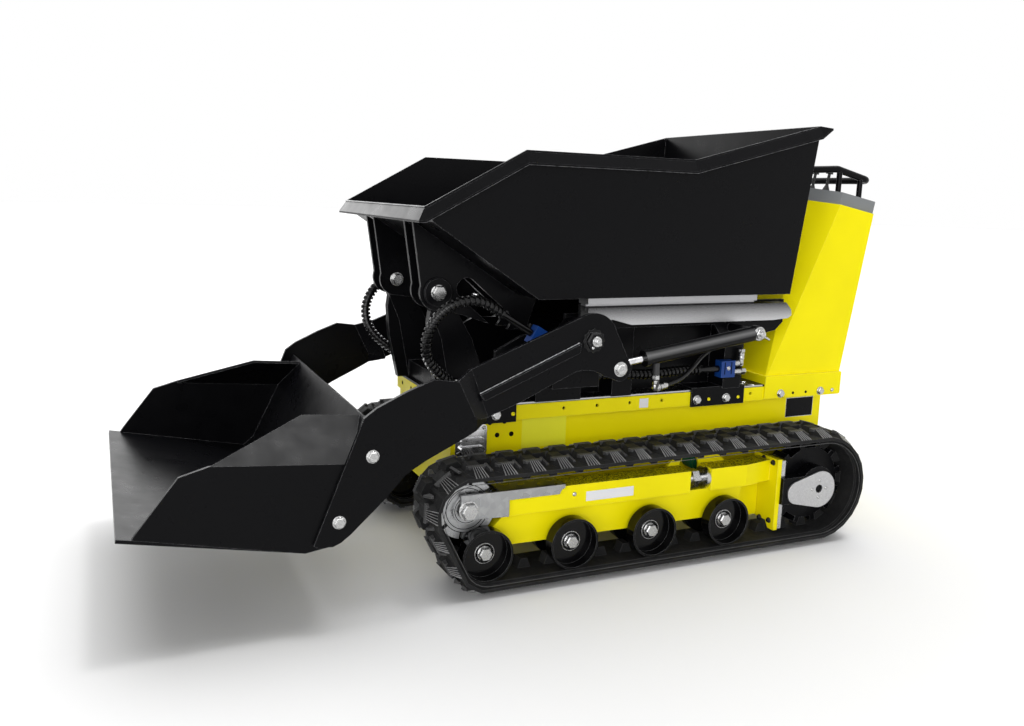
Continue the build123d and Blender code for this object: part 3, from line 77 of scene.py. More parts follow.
# %% [markdown]
# ## Nodes in short form
# A procedural finish is a small net of shader nodes. Adding each node, setting it and linking it takes
# three or more lines, so one helper does all three. An input that is given a socket is linked, and one
# that is given a number or a colour is set, which keeps constants on the shader's own sockets. A second
# helper makes one number from two, because nearly every finish needs that.

# %% Helpers for shader nodes
def add_node(tree, kind, inputs=None, **settings):
    """Add a shader node, set its options, then set or link its inputs."""
    node = tree.nodes.new(kind)
    for name, value in settings.items():
        setattr(node, name, value)
    for socket, value in (inputs or {}).items():
        if isinstance(value, bpy.types.NodeSocket):
            tree.links.new(value, node.inputs[socket])
        else:
            node.inputs[socket].default_value = value
    return node


def combine(tree, operation, first, second):
    """One number from two, such as their product or the larger one."""
    return add_node(tree, "ShaderNodeMath", {0: first, 1: second}, operation=operation).outputs[0]


# %% [markdown]
# ## A white studio
# The machine stands in a plain white studio. Stronger lamps could whiten the backdrop, but they would
# bleach the yellow, so the world has two strengths: a plain level that lights the machine, and a strength
# of 1, which is white by itself, for what the camera and the reflections see.

# %% A world that is seen as white
WHITE = (1.0, 1.0, 1.0, 1.0)
world_light = 0.40
white_strength = 1.0
world = bpy.data.worlds.new("studio")
world.use_nodes = True
bpy.context.scene.world = world
tree = world.node_tree
tree.nodes.clear()
path = add_node(tree, "ShaderNodeLightPath").outputs
seen = combine(tree, "MAXIMUM", path["Is Camera Ray"], path["Is Glossy Ray"])
seen = combine(tree, "MAXIMUM", seen, path["Is Transmission Ray"])
light = add_node(tree, "ShaderNodeBackground", {"Color": WHITE, "Strength": world_light})
white = add_node(tree, "ShaderNodeBackground", {"Color": WHITE, "Strength": white_strength})
both = add_node(tree, "ShaderNodeMixShader", {0: seen, 1: light.outputs[0], 2: white.outputs[0]})
add_node(tree, "ShaderNodeOutputWorld", {"Surface": both.outputs[0]})
print("world light:", world_light)

# %% [markdown]
# ## Lamps
# A very wide sun from above and a little behind draws the soft shadow towards the front. A narrow one
# nearly overhead gives the small glints, and a wide, low one from the front lifts the side that is seen.
# A softbox far behind puts a pale sheen on the top edges. Suns are used and not point lamps, because
# their light is as strong on the bucket as on the console.

# %% Three suns and a softbox
SUNS = (
    # name, where the light comes from, strength, width in degrees
    ("key_sun", (-0.16, -0.24, 0.95), 2.3, 64.0),
    ("top_sun", (-0.25, 0.02, 0.97), 0.60, 9.0),
    ("front_sun", (0.75, 1.0, 0.14), 2.4, 60.0),
)
softbox_place = Vector((0.9, -4.3, 1.95))
softbox_target = Vector((0.4, 0.0, 0.8))
softbox_wide, softbox_high = 3.2, 1.3
softbox_watts = 32.0


def add_lamp(name, kind, direction):
    """A lamp that shines against a direction, which points from the machine to the lamp."""
    lamp = bpy.data.objects.new(name, bpy.data.lights.new(name, kind))
    lamp.rotation_mode = "QUATERNION"
    lamp.rotation_quaternion = Vector(direction).to_track_quat("Z", "Y")
    bpy.context.scene.collection.objects.link(lamp)
    return lamp


for name, source, strength, width in SUNS:
    sun = add_lamp(name, "SUN", source)
    sun.data.energy = strength
    sun.data.angle = math.radians(width)
softbox = add_lamp("rim_softbox", "AREA", softbox_place - softbox_target)
softbox.location = softbox_place
softbox.data.shape = "RECTANGLE"
softbox.data.size = softbox_wide
softbox.data.size_y = softbox_high
softbox.data.energy = softbox_watts
softbox.visible_camera = False
print("suns:", len(SUNS), "and one softbox behind")

# %% [markdown]
# ## Floor
# The floor is a wide pale disc. Its own colour is nearly white, and away from the machine the camera
# also sees a little glow from it, which hides the horizon. The glow fades out towards the machine and
# adds nothing to the light, so the shadow stays as deep as it is.

# %% A pale floor
floor_radius = 40.0
floor_colour = (0.76, 0.76, 0.76, 1.0)
glow_starts, glow_is_full, full_glow = 1.3, 3.2, 0.25
floor_mesh = bmesh.new()
bmesh.ops.create_circle(floor_mesh, cap_ends=True, segments=64, radius=floor_radius)
floor_data = bpy.data.meshes.new("floor")
floor_mesh.to_mesh(floor_data)
floor_mesh.free()
floor = bpy.data.objects.new("floor", floor_data)
bpy.context.scene.collection.objects.link(floor)
floor_paint = bpy.data.materials.new("floor_white")
floor_paint.use_nodes = True
tree = floor_paint.node_tree
tree.nodes.clear()
path = add_node(tree, "ShaderNodeLightPath").outputs
place = add_node(tree, "ShaderNodeTexCoord").outputs["Object"]
away = add_node(tree, "ShaderNodeVectorMath", {0: place}, operation="LENGTH").outputs["Value"]
glow_range = {
    "Value": away, "From Min": glow_starts, "From Max": glow_is_full, "To Min": 0.0, "To Max": full_glow,
}
level = add_node(tree, "ShaderNodeMapRange", glow_range).outputs["Result"]
matt = add_node(tree, "ShaderNodeBsdfDiffuse", {"Color": floor_colour}).outputs[0]
glow = add_node(tree, "ShaderNodeEmission", {"Color": WHITE, "Strength": level}).outputs[0]
lit = add_node(tree, "ShaderNodeAddShader", {0: matt, 1: glow}).outputs[0]
mix = add_node(tree, "ShaderNodeMixShader", {0: path["Is Camera Ray"], 1: matt, 2: lit}).outputs[0]
add_node(tree, "ShaderNodeOutputMaterial", {"Surface": mix})
floor_data.materials.append(floor_paint)
print("floor:", 2 * floor_radius, "m across")

# %% [markdown]
# ## What every finish shares
# Real sheet metal has no knife edges: the paint rounds them off and they catch the light. The Bevel
# node bends the shading normal there, which costs no faces. Where that bent normal leaves the true
# one, the surface is an edge, and the same test then says where a finish gets a painted highlight
# along its edges.

# %% Parts of a finish
edge_samples = 4


def start_finish(name):
    """A new material, its node tree, its main shader and coordinates in the machine's own metres."""
    material = bpy.data.materials.new(name)
    material.use_nodes = True
    tree = material.node_tree
    shader = tree.nodes["Principled BSDF"]
    place = add_node(tree, "ShaderNodeTexCoord").outputs["Object"]
    return material, tree, shader, place


def noise(tree, place, scale, detail=3.0, roughness=0.55):
    """Cloudy variation with features about 1 / scale metres wide."""
    inputs = {"Vector": place, "Scale": scale, "Detail": detail, "Roughness": roughness}
    return add_node(tree, "ShaderNodeTexNoise", inputs).outputs["Fac"]


def between(tree, value, low, high, start=0.0, end=1.0):
    """Move a value from the range low..high to start..end, clamped."""
    inputs = {"Value": value, "From Min": low, "From Max": high, "To Min": start, "To Max": end}
    return add_node(tree, "ShaderNodeMapRange", inputs).outputs["Result"]


def blend_colours(tree, share, first, second):
    """Mix two colours; share 0 gives the first and 1 the second."""
    inputs = {"Factor": share, 6: first, 7: second}
    return add_node(tree, "ShaderNodeMix", inputs, data_type="RGBA").outputs[2]


def facing_up(tree):
    """How far a face looks up: 1 on a level top, 0 on an upright side."""
    normal = add_node(tree, "ShaderNodeNewGeometry").outputs["Normal"]
    return add_node(tree, "ShaderNodeSeparateXYZ", {"Vector": normal}).outputs["Z"]


def edge_share(tree, radius):
    """1 along a sharp edge and 0 on flat metal."""
    rounded = add_node(tree, "ShaderNodeBevel", {"Radius": radius}, samples=edge_samples)
    true = add_node(tree, "ShaderNodeNewGeometry")
    inputs = {0: rounded.outputs["Normal"], 1: true.outputs["Normal"]}
    agree = add_node(tree, "ShaderNodeVectorMath", inputs, operation="DOT_PRODUCT")
    return between(tree, agree.outputs["Value"], 0.985, 0.80)


def roughen(tree, shader, height, strength, distance, radius):
    """Give a shader rounded edges and a fine relief on top of them."""
    rounded = add_node(tree, "ShaderNodeBevel", {"Radius": radius}, samples=edge_samples)
    inputs = {
        "Height": height, "Strength": strength, "Distance": distance,
        "Normal": rounded.outputs["Normal"],
    }
    relief = add_node(tree, "ShaderNodeBump", inputs)
    tree.links.new(relief.outputs["Normal"], shader.inputs["Normal"])


def set_colour(tree, shader, colour):
    """Link a colour socket to a shader."""
    tree.links.new(colour, shader.inputs["Base Color"])


finishes = {}

# %% [markdown]
# ## Powder coat
# The body is lemon yellow and the moving steel is satin black, both baked powder. Powder coat has a
# faint orange peel and a slow drift in tone, and each edge gets a thin bright line, which is a painted
# highlight broken into patches by noise. Car paint with flakes would be the wrong choice, because
# powder is one even layer with its gloss all through. Dust and grit lie only where the beam's top is
# level, so the direction of the face decides where they show.

# %% Yellow and black powder coat
paint_edge = 0.0011
GRIT = (0.012, 0.011, 0.009, 1.0)
# features per metre
drift_scale, highlight_patch_scale, gloss_scale, grit_scale, peel_scale = 3.0, 90.0, 18.0, 240.0, 420.0


def powder_coat(name, colour, edge_colour, roughness, gloss, peel, grit=False):
    """Baked powder: slow drift in tone, a painted highlight on the edges, orange peel, and grit on flat tops if
    asked.
    """
    material, tree, shader, place = start_finish(name)
    drift = between(tree, noise(tree, place, drift_scale), 0.3, 0.7)
    darker = tuple(0.90 * c for c in colour) + (1.0,)
    body = blend_colours(tree, drift, darker, (*colour, 1.0))
    # a painted highlight along each edge, broken into patches by noise
    highlight_patches = between(tree, noise(tree, place, highlight_patch_scale), 0.25, 0.55)
    painted_edge_highlight = combine(tree, "MULTIPLY", edge_share(tree, paint_edge), highlight_patches)
    body = blend_colours(tree, painted_edge_highlight, body, (*edge_colour, 1.0))
    if grit:
        level_tops = between(tree, facing_up(tree), 0.85, 0.95)
        specks = between(tree, noise(tree, place, grit_scale, 5.0, 0.75), 0.49, 0.55)
        body = blend_colours(tree, combine(tree, "MULTIPLY", level_tops, specks), body, GRIT)
    set_colour(tree, shader, body)
    cloud = noise(tree, place, gloss_scale)
    rough = between(tree, cloud, 0.3, 0.7, roughness * 0.85, roughness * 1.15)
    tree.links.new(rough, shader.inputs["Roughness"])
    shader.inputs["Specular IOR Level"].default_value = gloss
    roughen(tree, shader, noise(tree, place, peel_scale, 2.0), peel, 0.0004, paint_edge)
    return material


YELLOW = (0.92, 0.800, 0.002)
EDGE_HIGHLIGHT_YELLOW = (0.98, 0.94, 0.20)
BLACK = (0.0026, 0.0026, 0.0032)
POWDER_COATS = (
    # finish, material, colour, colour of its painted edge highlight, roughness, gloss, orange peel, grit
    ("yellow_paint", "yellow_powder", YELLOW, EDGE_HIGHLIGHT_YELLOW, 0.36, 0.10, 0.10, False),
    ("gritty_yellow", "gritty_yellow", YELLOW, EDGE_HIGHLIGHT_YELLOW, 0.36, 0.10, 0.10, True),
    ("black_paint", "black_powder", BLACK, (0.30, 0.30, 0.31), 0.30, 0.085, 0.04, False),
    ("plain_black", "plain_black", BLACK, BLACK, 0.30, 0.085, 0.04, False),
    ("gloss_black", "gloss_black", (0.002, 0.002, 0.0023), (0.16, 0.16, 0.165), 0.15, 0.20, 0.03, False),
    ("grey_cap", "grey_powder", (0.19, 0.20, 0.205), (0.30, 0.31, 0.32), 0.42, 0.35, 0.12, False),
    ("sign_yellow", "sign_yellow", (0.92, 0.90, 0.030), (0.92, 0.90, 0.1), 0.5, 0.3, 0.02, False),
    ("sign_white", "sign_white", (0.78, 0.78, 0.80), (0.85, 0.85, 0.85), 0.45, 0.3, 0.02, False),
    ("blue_clamp", "blue_nylon", (0.004, 0.040, 0.21), (0.05, 0.16, 0.50), 0.38, 0.3, 0.1, False),
    ("green_motor", "green_motor", (0.004, 0.14, 0.075), (0.05, 0.3, 0.18), 0.4, 0.4, 0.2, False),
)
for finish, *values in POWDER_COATS:
    finishes[finish] = powder_coat(*values)
print("painted and moulded finishes:", len(POWDER_COATS))

# %% [markdown]
# ## Rubber
# The belts are moulded black rubber: matt, a little uneven, and dusty where they bend. The hoses and
# their guards are extruded, smoother and shinier. Noise at two sizes does both jobs, one for the dust
# and one for the grain of the mould, and a few values make the difference between a belt and a hose.

# %% Rubber and hose covers
rubber_edge = 0.0018
# features per metre
bloom_scale, wear_scale, grain_scale = 14.0, 60.0, 520.0


def rubber(name, colour, dust, roughness, gloss, edge, grain):
    """Moulded rubber with a dusty bloom and a painted highlight on its edges."""
    material, tree, shader, place = start_finish(name)
    bloom = between(tree, noise(tree, place, bloom_scale, 5.0, 0.65), 0.42, 0.75)
    body = blend_colours(tree, bloom, (*colour, 1.0), (*dust, 1.0))
    # the tone of a painted highlight along each edge
    painted_edge_tone = (edge, edge, edge, 1.0)
    set_colour(tree, shader, blend_colours(tree, edge_share(tree, rubber_edge), body, painted_edge_tone))
    wear = noise(tree, place, wear_scale)
    rough = between(tree, wear, 0.3, 0.7, roughness - 0.08, roughness + 0.08)
    tree.links.new(rough, shader.inputs["Roughness"])
    shader.inputs["Specular IOR Level"].default_value = gloss
    roughen(tree, shader, noise(tree, place, grain_scale, 4.0, 0.7), grain, 0.0006, rubber_edge)
    return material


RUBBERS = (
    # finish, material, colour, dust, roughness, gloss, tone of its painted edge highlight, grain
    ("track_rubber", "track_rubber", (0.011, 0.011, 0.0115), (0.022, 0.022, 0.022), 0.70, 0.14, 0.07, 0.35),
    ("lever_plastic", "lever_plastic", (0.008, 0.008, 0.008), (0.012, 0.012, 0.012), 0.40, 0.4, 0.02, 0.35),
    ("hose_rubber", "hose_cover", (0.003, 0.003, 0.0033), (0.006, 0.006, 0.0063), 0.16, 0.30, 0.03, 0.03),
    ("scuffed_rubber", "scuffed_rubber", (0.22, 0.22, 0.222), (0.38, 0.38, 0.385), 0.60, 0.3, 0.40, 0.35),
    # its lighter tone is rubbed on the lug wings and a painted highlight on the belt's edge line
    ("rubbed_rubber", "rubbed_rubber", (0.045, 0.045, 0.046), (0.085, 0.085, 0.086), 0.65, 0.2, 0.16, 0.35),
    ("shadow_hole", "shadow_hole", (0.002, 0.002, 0.002), (0.004, 0.004, 0.004), 0.9, 0.1, 0.004, 0.35),
)
for finish, *values in RUBBERS:
    finishes[finish] = rubber(*values)
print("rubbers:", len(RUBBERS))

# %% [markdown]
# ## Bare and plated metal
# Galvanised steel shows spangle, the flat crystals that zinc freezes into, so a Voronoi pattern gives
# each crystal its own tone and gloss. Zinc-plated bolts, cast aluminium and chromed rods differ only in
# how rough and how even they are, so one function with a few values makes them all.

# %% Metals
metal_edge = 0.0010


def metal(name, dark, bright, roughness, spangle, grain, relief):
    """Bare metal whose crystals or brush marks differ in tone and gloss."""
    material, tree, shader, place = start_finish(name)
    cells = add_node(
        tree, "ShaderNodeTexVoronoi", {"Vector": place, "Scale": spangle, "Randomness": 1.0},
    )
    tone = add_node(tree, "ShaderNodeSeparateColor", {"Color": cells.outputs["Color"]}).outputs[0]
    stain = noise(tree, place, grain, 4.0, 0.6)
    level = between(tree, combine(tree, "MULTIPLY", tone, stain), 0.05, 0.55)
    set_colour(tree, shader, blend_colours(tree, level, (*dark, 1.0), (*bright, 1.0)))
    rough = between(tree, tone, 0.0, 1.0, roughness * 0.8, roughness * 1.25)
    tree.links.new(rough, shader.inputs["Roughness"])
    shader.inputs["Metallic"].default_value = 1.0
    roughen(tree, shader, stain, relief, 0.0003, metal_edge)
    return material


METALS = (
    # finish, dark tone, bright tone, roughness, spangle per metre, stain per metre, relief
    ("galvanised_steel", (0.33, 0.335, 0.34), (0.41, 0.415, 0.42), 0.32, 70.0, 30.0, 0.02),
    ("zinc_steel", (0.40, 0.40, 0.40), (0.56, 0.56, 0.555), 0.24, 700.0, 90.0, 0.04),
    ("cover_aluminium", (0.42, 0.42, 0.43), (0.58, 0.58, 0.59), 0.34, 900.0, 160.0, 0.20),
    ("chrome_rod", (0.62, 0.62, 0.64), (0.80, 0.80, 0.82), 0.10, 30.0, 20.0, 0.02),
    ("lamp_metal", (0.72, 0.72, 0.73), (0.84, 0.84, 0.85), 0.22, 30.0, 20.0, 0.01),
)
for finish, *values in METALS:
    finishes[finish] = metal(finish, *values)
print("metals:", len(METALS))

# %% [markdown]
# ## Seat rails
# The rails that the hopper rests on are rolled steel. Their colour holds painted light: painted shade
# under their upper fold, and a painted highlight towards the lower edge and on the strip above the fold,
# where light falls on the rolled panel. The height alone sets the tone, which is enough for a panel that
# is the same all along, and it costs one node where a painted picture would need an unwrapped mesh.

# %% Rolled rails
rail_low_z, rail_fold_z = 0.632, 0.684
RAIL_PAINTED_SHADE = (0.035, 0.035, 0.037, 1.0)
RAIL_PAINTED_HIGHLIGHT = (0.60, 0.60, 0.61, 1.0)
RAIL_TOP_PAINTED_HIGHLIGHT = (0.40, 0.40, 0.41, 1.0)
rail_grain_scale = 300.0


def rolled_rail(name, low, high):
    """Zinc plate with painted light: a painted highlight at the lower edge, painted shade under the fold at a
    height, a painted highlight above it.
    """
    material, tree, shader, place = start_finish(name)
    height = add_node(tree, "ShaderNodeSeparateXYZ", {"Vector": place}).outputs["Z"]
    grain = between(tree, noise(tree, place, rail_grain_scale, 4.0, 0.7), 0.3, 0.7, -0.10, 0.10)
    # painted shade under the fold, fading to a painted highlight at the lower edge
    painted_light_fade = between(tree, height, low, high, 0.95, 0.0)
    panel = blend_colours(tree, combine(tree, "ADD", painted_light_fade, grain), RAIL_PAINTED_SHADE, RAIL_PAINTED_HIGHLIGHT)
    # a painted highlight on the strip above the fold
    above = between(tree, height, high + 0.0005, high + 0.0015)
    set_colour(tree, shader, blend_colours(tree, above, panel, RAIL_TOP_PAINTED_HIGHLIGHT))
    shader.inputs["Metallic"].default_value = 1.0
    shader.inputs["Roughness"].default_value = 0.38
    roughen(tree, shader, grain, 0.1, 0.0003, 0.0015)
    return material


finishes["rolled_rail"] = rolled_rail("rolled_rail", rail_low_z, rail_fold_z)
print("rail fades between", rail_low_z, "and", rail_fold_z, "m")

# %% [markdown]
# ## Lift barrels
# The barrels of the lift cylinders are sprayed and glossier than the powder-coated plates near them. A
# long tube under the hopper is lit only from the side, so it shows one soft light band. Here the band is a
# painted highlight in the colour, set by the direction that each face looks in, which keeps it in place
# however the lamps are set.

# %% Sprayed barrels
def sprayed_barrel(name, dark, light):
    """Gloss spray on a cylinder, with a painted highlight: a soft light band along the side that faces half
    upwards.
    """
    material, tree, shader, place = start_finish(name)
    # the painted highlight band, from how far each face looks up
    upward = facing_up(tree)
    rise, fall = between(tree, upward, -0.15, 0.45), between(tree, upward, 0.80, 0.45)
    band = combine(tree, "MULTIPLY", rise, fall)
    set_colour(tree, shader, blend_colours(tree, band, (*dark, 1.0), (*light, 1.0)))
    shader.inputs["Roughness"].default_value = 0.30
    shader.inputs["Specular IOR Level"].default_value = 0.12
    return material


# the second tone is the painted highlight band
finishes["barrel_black"] = sprayed_barrel("barrel_black", BLACK, (0.15, 0.15, 0.152))
print("finishes:", sorted(finishes))

# %% [markdown]
# ## Dress the frame
# The record says which finish each CAD node has. Looping over it gives every node its material at
# once, and a node that is added later gets its finish without a new line here. A few nodes then get a
# finish of their own, because they are glossier, rubbed or gritty where the others aren't.

# %% Give each node its finish
SIDES = (("left", 1), ("right", -1))
OWN_FINISH = {
    # node, without its side: finish
    "road_wheels": "gloss_black",
    "track_frame": "gritty_yellow",
    "rest_rail": "rolled_rail",
    "lift_barrel": "barrel_black",
    "side_lamp": "lamp_metal",
}
for subpart in frame["record"]["subparts"]:
    node = frame["nodes"][subpart["node"]]
    node.data.materials.clear()
    node.data.materials.append(finishes[subpart["material_slot"]])
for name, finish in OWN_FINISH.items():
    for side, _ in SIDES:
        frame["nodes"][f"{name}_{side}"].data.materials[0] = finishes[finish]

# %% [markdown]
# ## Turned pieces
# Bolts, nuts, washers, screws and hose fittings are all turned on a lathe, so one function makes them:
# it turns a profile about an axis in 6 steps for a hexagon or in 28 for a round. A Screw modifier does
# the same for one profile, but here dozens of small pieces go into one mesh, which keeps the file light.

# %% A lathe and a way to put pieces on a body
sharp_angle = math.radians(32)


def turned(mesh, profile, place, axis, steps=28, lobes=0.0):
    """Turn a profile of (distance along, radius) pairs about an axis that starts at a place."""
    along = Vector(axis).normalized()
    first = Vector((1, 0, 0)) if abs(along.x) < 0.7 else Vector((0, 1, 0))
    across = along.cross(first).normalized()
    first = across.cross(along)
    rings = []
    for distance, radius in profile:
        ring = []
        for step in range(steps):
            angle = 2 * math.pi * step / steps
            reach = radius * (1 - lobes * (step % 2))
            spoke = first * math.cos(angle) + across * math.sin(angle)
            ring.append(mesh.verts.new(Vector(place) + along * distance + spoke * reach))
        rings.append(ring)
    for near, far in zip(rings, rings[1:]):
        for step in range(steps):
            after = (step + 1) % steps
            mesh.faces.new((near[step], near[after], far[after], far[step]))
    mesh.faces.new(rings[0][::-1])
    mesh.faces.new(rings[-1])


def put(name, mesh, body, finish):
    """Make a named piece from a mesh, give it its finish and let it ride on a body."""
    bmesh.ops.recalc_face_normals(mesh, faces=mesh.faces[:])
    data = bpy.data.meshes.new(name)
    mesh.to_mesh(data)
    mesh.free()
    data.polygons.foreach_set("use_smooth", [True] * len(data.polygons))
    data.set_sharp_from_angle(angle=sharp_angle)
    data.materials.append(finishes[finish])
    piece = bpy.data.objects.new(name, data)
    bpy.context.scene.collection.objects.link(piece)
    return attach(piece, body)


# %% [markdown]
# ## Places that the small pieces share
# A bolt sits on the end of its axle or pin, so its place isn't free. The pins' places come from the
# joints in the record, and the road wheels stand in an even row. The same numbers could be typed into
# every table, but one of them would be forgotten on the day that a wheel moves.

# %% Pins, road wheels and idler
pins = {joint["name"]: joint["pos_m"] for joint in frame["joints"] if joint.get("pos_m")}
arm_pin_x, _, arm_pin_z = pins["arm_lift"]
hopper_pin_x, _, hopper_pin_z = pins["hopper_tip"]
lift_pin_x, _, lift_pin_z = pins["lift_barrel_left_swing"]
first_wheel_x = 0.2365
wheel_spacing = 0.236
wheel_z = 0.099
WHEELS_X = [first_wheel_x - wheel_spacing * number for number in range(4)]
idler_x, idler_z = 0.281, 0.213
sprocket_x, sprocket_z = -0.777, 0.165
print("pins:", sorted(pins), "wheels at x", [round(x, 4) for x in WHEELS_X])

# %% [markdown]
# ## Bolts and screws
# Zinc-plated fasteners are what the eye finds first on a machine like this. Each row of the table is
# one fastener on the left side, and the loop mirrors it. A bolt is a washer, a hexagon and the small
# chamfer that a real bolt head has; a screw is a low dome.

# %% One bolt and one screw
def bolt(mesh, place, axis, head, height, washer):
    """A washer under a chamfered hexagon head."""
    turned(mesh, ((0, washer), (0.0016, washer), (0.0022, washer * 0.96)), place, axis)
    profile = ((0.002, head), (0.002 + height * 0.78, head), (0.002 + height, head * 0.85))
    turned(mesh, profile, place, axis, 6)


def screw(mesh, place, axis, radius):
    """A low domed head."""
    profile = ((0, radius), (radius * 0.3, radius * 0.95), (radius * 0.6, radius * 0.55))
    turned(mesh, profile, place, axis, 14)


# %% [markdown]
# ## Where the bolts and screws go
# The tables name the piece that each fastener belongs to, so that all the wheel bolts of one side are
# one mesh. A separate object for each screw would be simpler, but it would fill the list of pieces.

# %% Rows of fasteners
BOLTS = (
    # piece, body, x, y, z, head radius, head height, washer radius
    *(("wheel_bolts", "chassis", x, 0.3695, wheel_z, 0.0180, 0.0125, 0.0188) for x in WHEELS_X),
    ("idler_bolt", "chassis", idler_x, 0.3733, idler_z, 0.0224, 0.0130, 0.0250),
    ("foot_bolts", "chassis", 0.161, 0.2462, 0.409, 0.0115, 0.0070, 0.0130),
    ("foot_bolts", "chassis", -0.448, 0.2462, 0.408, 0.0115, 0.0070, 0.0130),
    ("foot_bolts", "chassis", -0.547, 0.2462, 0.408, 0.0115, 0.0070, 0.0130),
    ("skirt_bolts", "chassis", -0.743, 0.2452, 0.407, 0.0110, 0.0065, 0.0125),
    ("skirt_bolts", "chassis", -0.892, 0.2452, 0.406, 0.0110, 0.0065, 0.0125),
    ("rod_pin_bolt", "loader", -0.094, 0.4148, 0.545, 0.0150, 0.0095, 0.0185),
    ("bucket_bolts", "loader", 0.538, 0.4531, 0.394, 0.0130, 0.0080, 0.0150),
    ("bucket_bolts", "loader", 0.612, 0.4531, 0.254, 0.0130, 0.0080, 0.0150),
)
SCREWS = (
    # piece, body, finish, x, y, z, radius
    ("lamp_screws", "chassis", "zinc_steel", 0.181, 0.2178, 0.308, 0.0050),
    ("lamp_screws", "chassis", "zinc_steel", 0.251, 0.2178, 0.308, 0.0050),
    ("lamp_screws", "chassis", "zinc_steel", 0.181, 0.2178, 0.372, 0.0050),
    ("lamp_screws", "chassis", "zinc_steel", 0.251, 0.2178, 0.372, 0.0050),
    ("cover_screws", "chassis", "zinc_steel", -0.781, 0.3948, 0.184, 0.0045),
    ("cover_screws", "chassis", "zinc_steel", -0.781, 0.3948, 0.134, 0.0045),
    ("cover_screws", "chassis", "zinc_steel", -0.756, 0.3948, 0.159, 0.0045),
    ("cover_screws", "chassis", "zinc_steel", -0.806, 0.3948, 0.159, 0.0045),
    ("skirt_screws", "chassis", "zinc_steel", -0.939, 0.2452, 0.406, 0.0060),
    ("beam_plugs", "chassis", "zinc_steel", -0.008, 0.3648, 0.220, 0.0060),
    ("foot_holes", "chassis", "yellow_paint", 0.114, 0.2461, 0.409, 0.0055),
    ("foot_holes", "chassis", "yellow_paint", -0.489, 0.2461, 0.407, 0.0050),
    ("foot_holes", "chassis", "yellow_paint", -0.590, 0.2461, 0.407, 0.0050),
)
made = {}
for piece, body, x, y, z, head, height, washer in BOLTS:
    for side, sign in SIDES:
        key = (f"{piece}_{side}", body, "zinc_steel")
        if key not in made:
            made[key] = bmesh.new()
        bolt(made[key], (x, sign * y, z), (0, sign, 0), head, height, washer)
for piece, body, finish, x, y, z, radius in SCREWS:
    for side, sign in SIDES:
        key = (f"{piece}_{side}", body, finish)
        if key not in made:
            made[key] = bmesh.new()
        screw(made[key], (x, sign * y, z), (0, sign, 0), radius)
for (name, body, finish), mesh in made.items():
    put(name, mesh, body, finish)
print("fastener pieces:", len(made))

# %% [markdown]
# ## Drilled holes
# A drilled hole in painted steel reads as a black dot. The chassis side has four, and the folded skirt
# and the front plate have more. Cutting them would mean changing the CAD mesh, so each is a thin dark
# disc instead: painted shade where the inside of the hole would be.

# %% Dark holes
HOLES = (
    # x, y, z, share of the axis along x, share along y, radius
    (0.163, 0.2121, 0.382, 0, 1, 0.0065),
    (0.122, 0.2121, 0.382, 0, 1, 0.0065),
    (0.142, 0.2121, 0.347, 0, 1, 0.0065),
    (0.102, 0.2121, 0.347, 0, 1, 0.0065),
    (-0.790, 0.2453, 0.406, 0, 1, 0.0042),
    (-0.838, 0.2453, 0.406, 0, 1, 0.0042),
    (0.2701, 0.190, 0.412, 1, 0, 0.0055),
    (0.2701, 0.110, 0.412, 1, 0, 0.0055),
    (0.2701, 0.030, 0.412, 1, 0, 0.0055),
)
for side, sign in SIDES:
    mesh = bmesh.new()
    for x, y, z, axis_x, axis_y, radius in HOLES:
        disc = ((-0.001, radius), (0.0002, radius))
        turned(mesh, disc, (x, sign * y, z), (axis_x, sign * axis_y, 0), 18)
    put(f"dark_holes_{side}", mesh, "chassis", "shadow_hole")
print("dark holes on each side:", len(HOLES))

# %% [markdown]
# ## Wheel seals
# Each road wheel has a bright ring round its hub, the cover of the bearing's seal. It could be a torus,
# but a turned ring with a flat top and two chamfers catches the light on its edges as pressed steel does.

# %% Bright rings on the hubs
SEAL_RING = (
    (-0.002, 0.0262), (0.0004, 0.0262), (0.0008, 0.0256), (0.0008, 0.0246), (-0.002, 0.0240),
)
seal_y = 0.3711
for side, sign in SIDES:
    mesh = bmesh.new()
    for x in WHEELS_X:
        turned(mesh, SEAL_RING, (x, sign * seal_y, wheel_z), (0, sign, 0), 40)
    put(f"wheel_seals_{side}", mesh, "chassis", "zinc_steel")
print("wheel seals:", 2 * len(WHEELS_X))

# %% [markdown]
# ## The arm's pin
# Each arm turns on a thick pin. A black lock ring with teeth and a nut hold it, and the bright end of
# the pin stands out of the nut with a small hexagon and two screws. All are stacks of turned rings, each
# a little smaller than the one below, and the teeth come from shortening each second spoke.

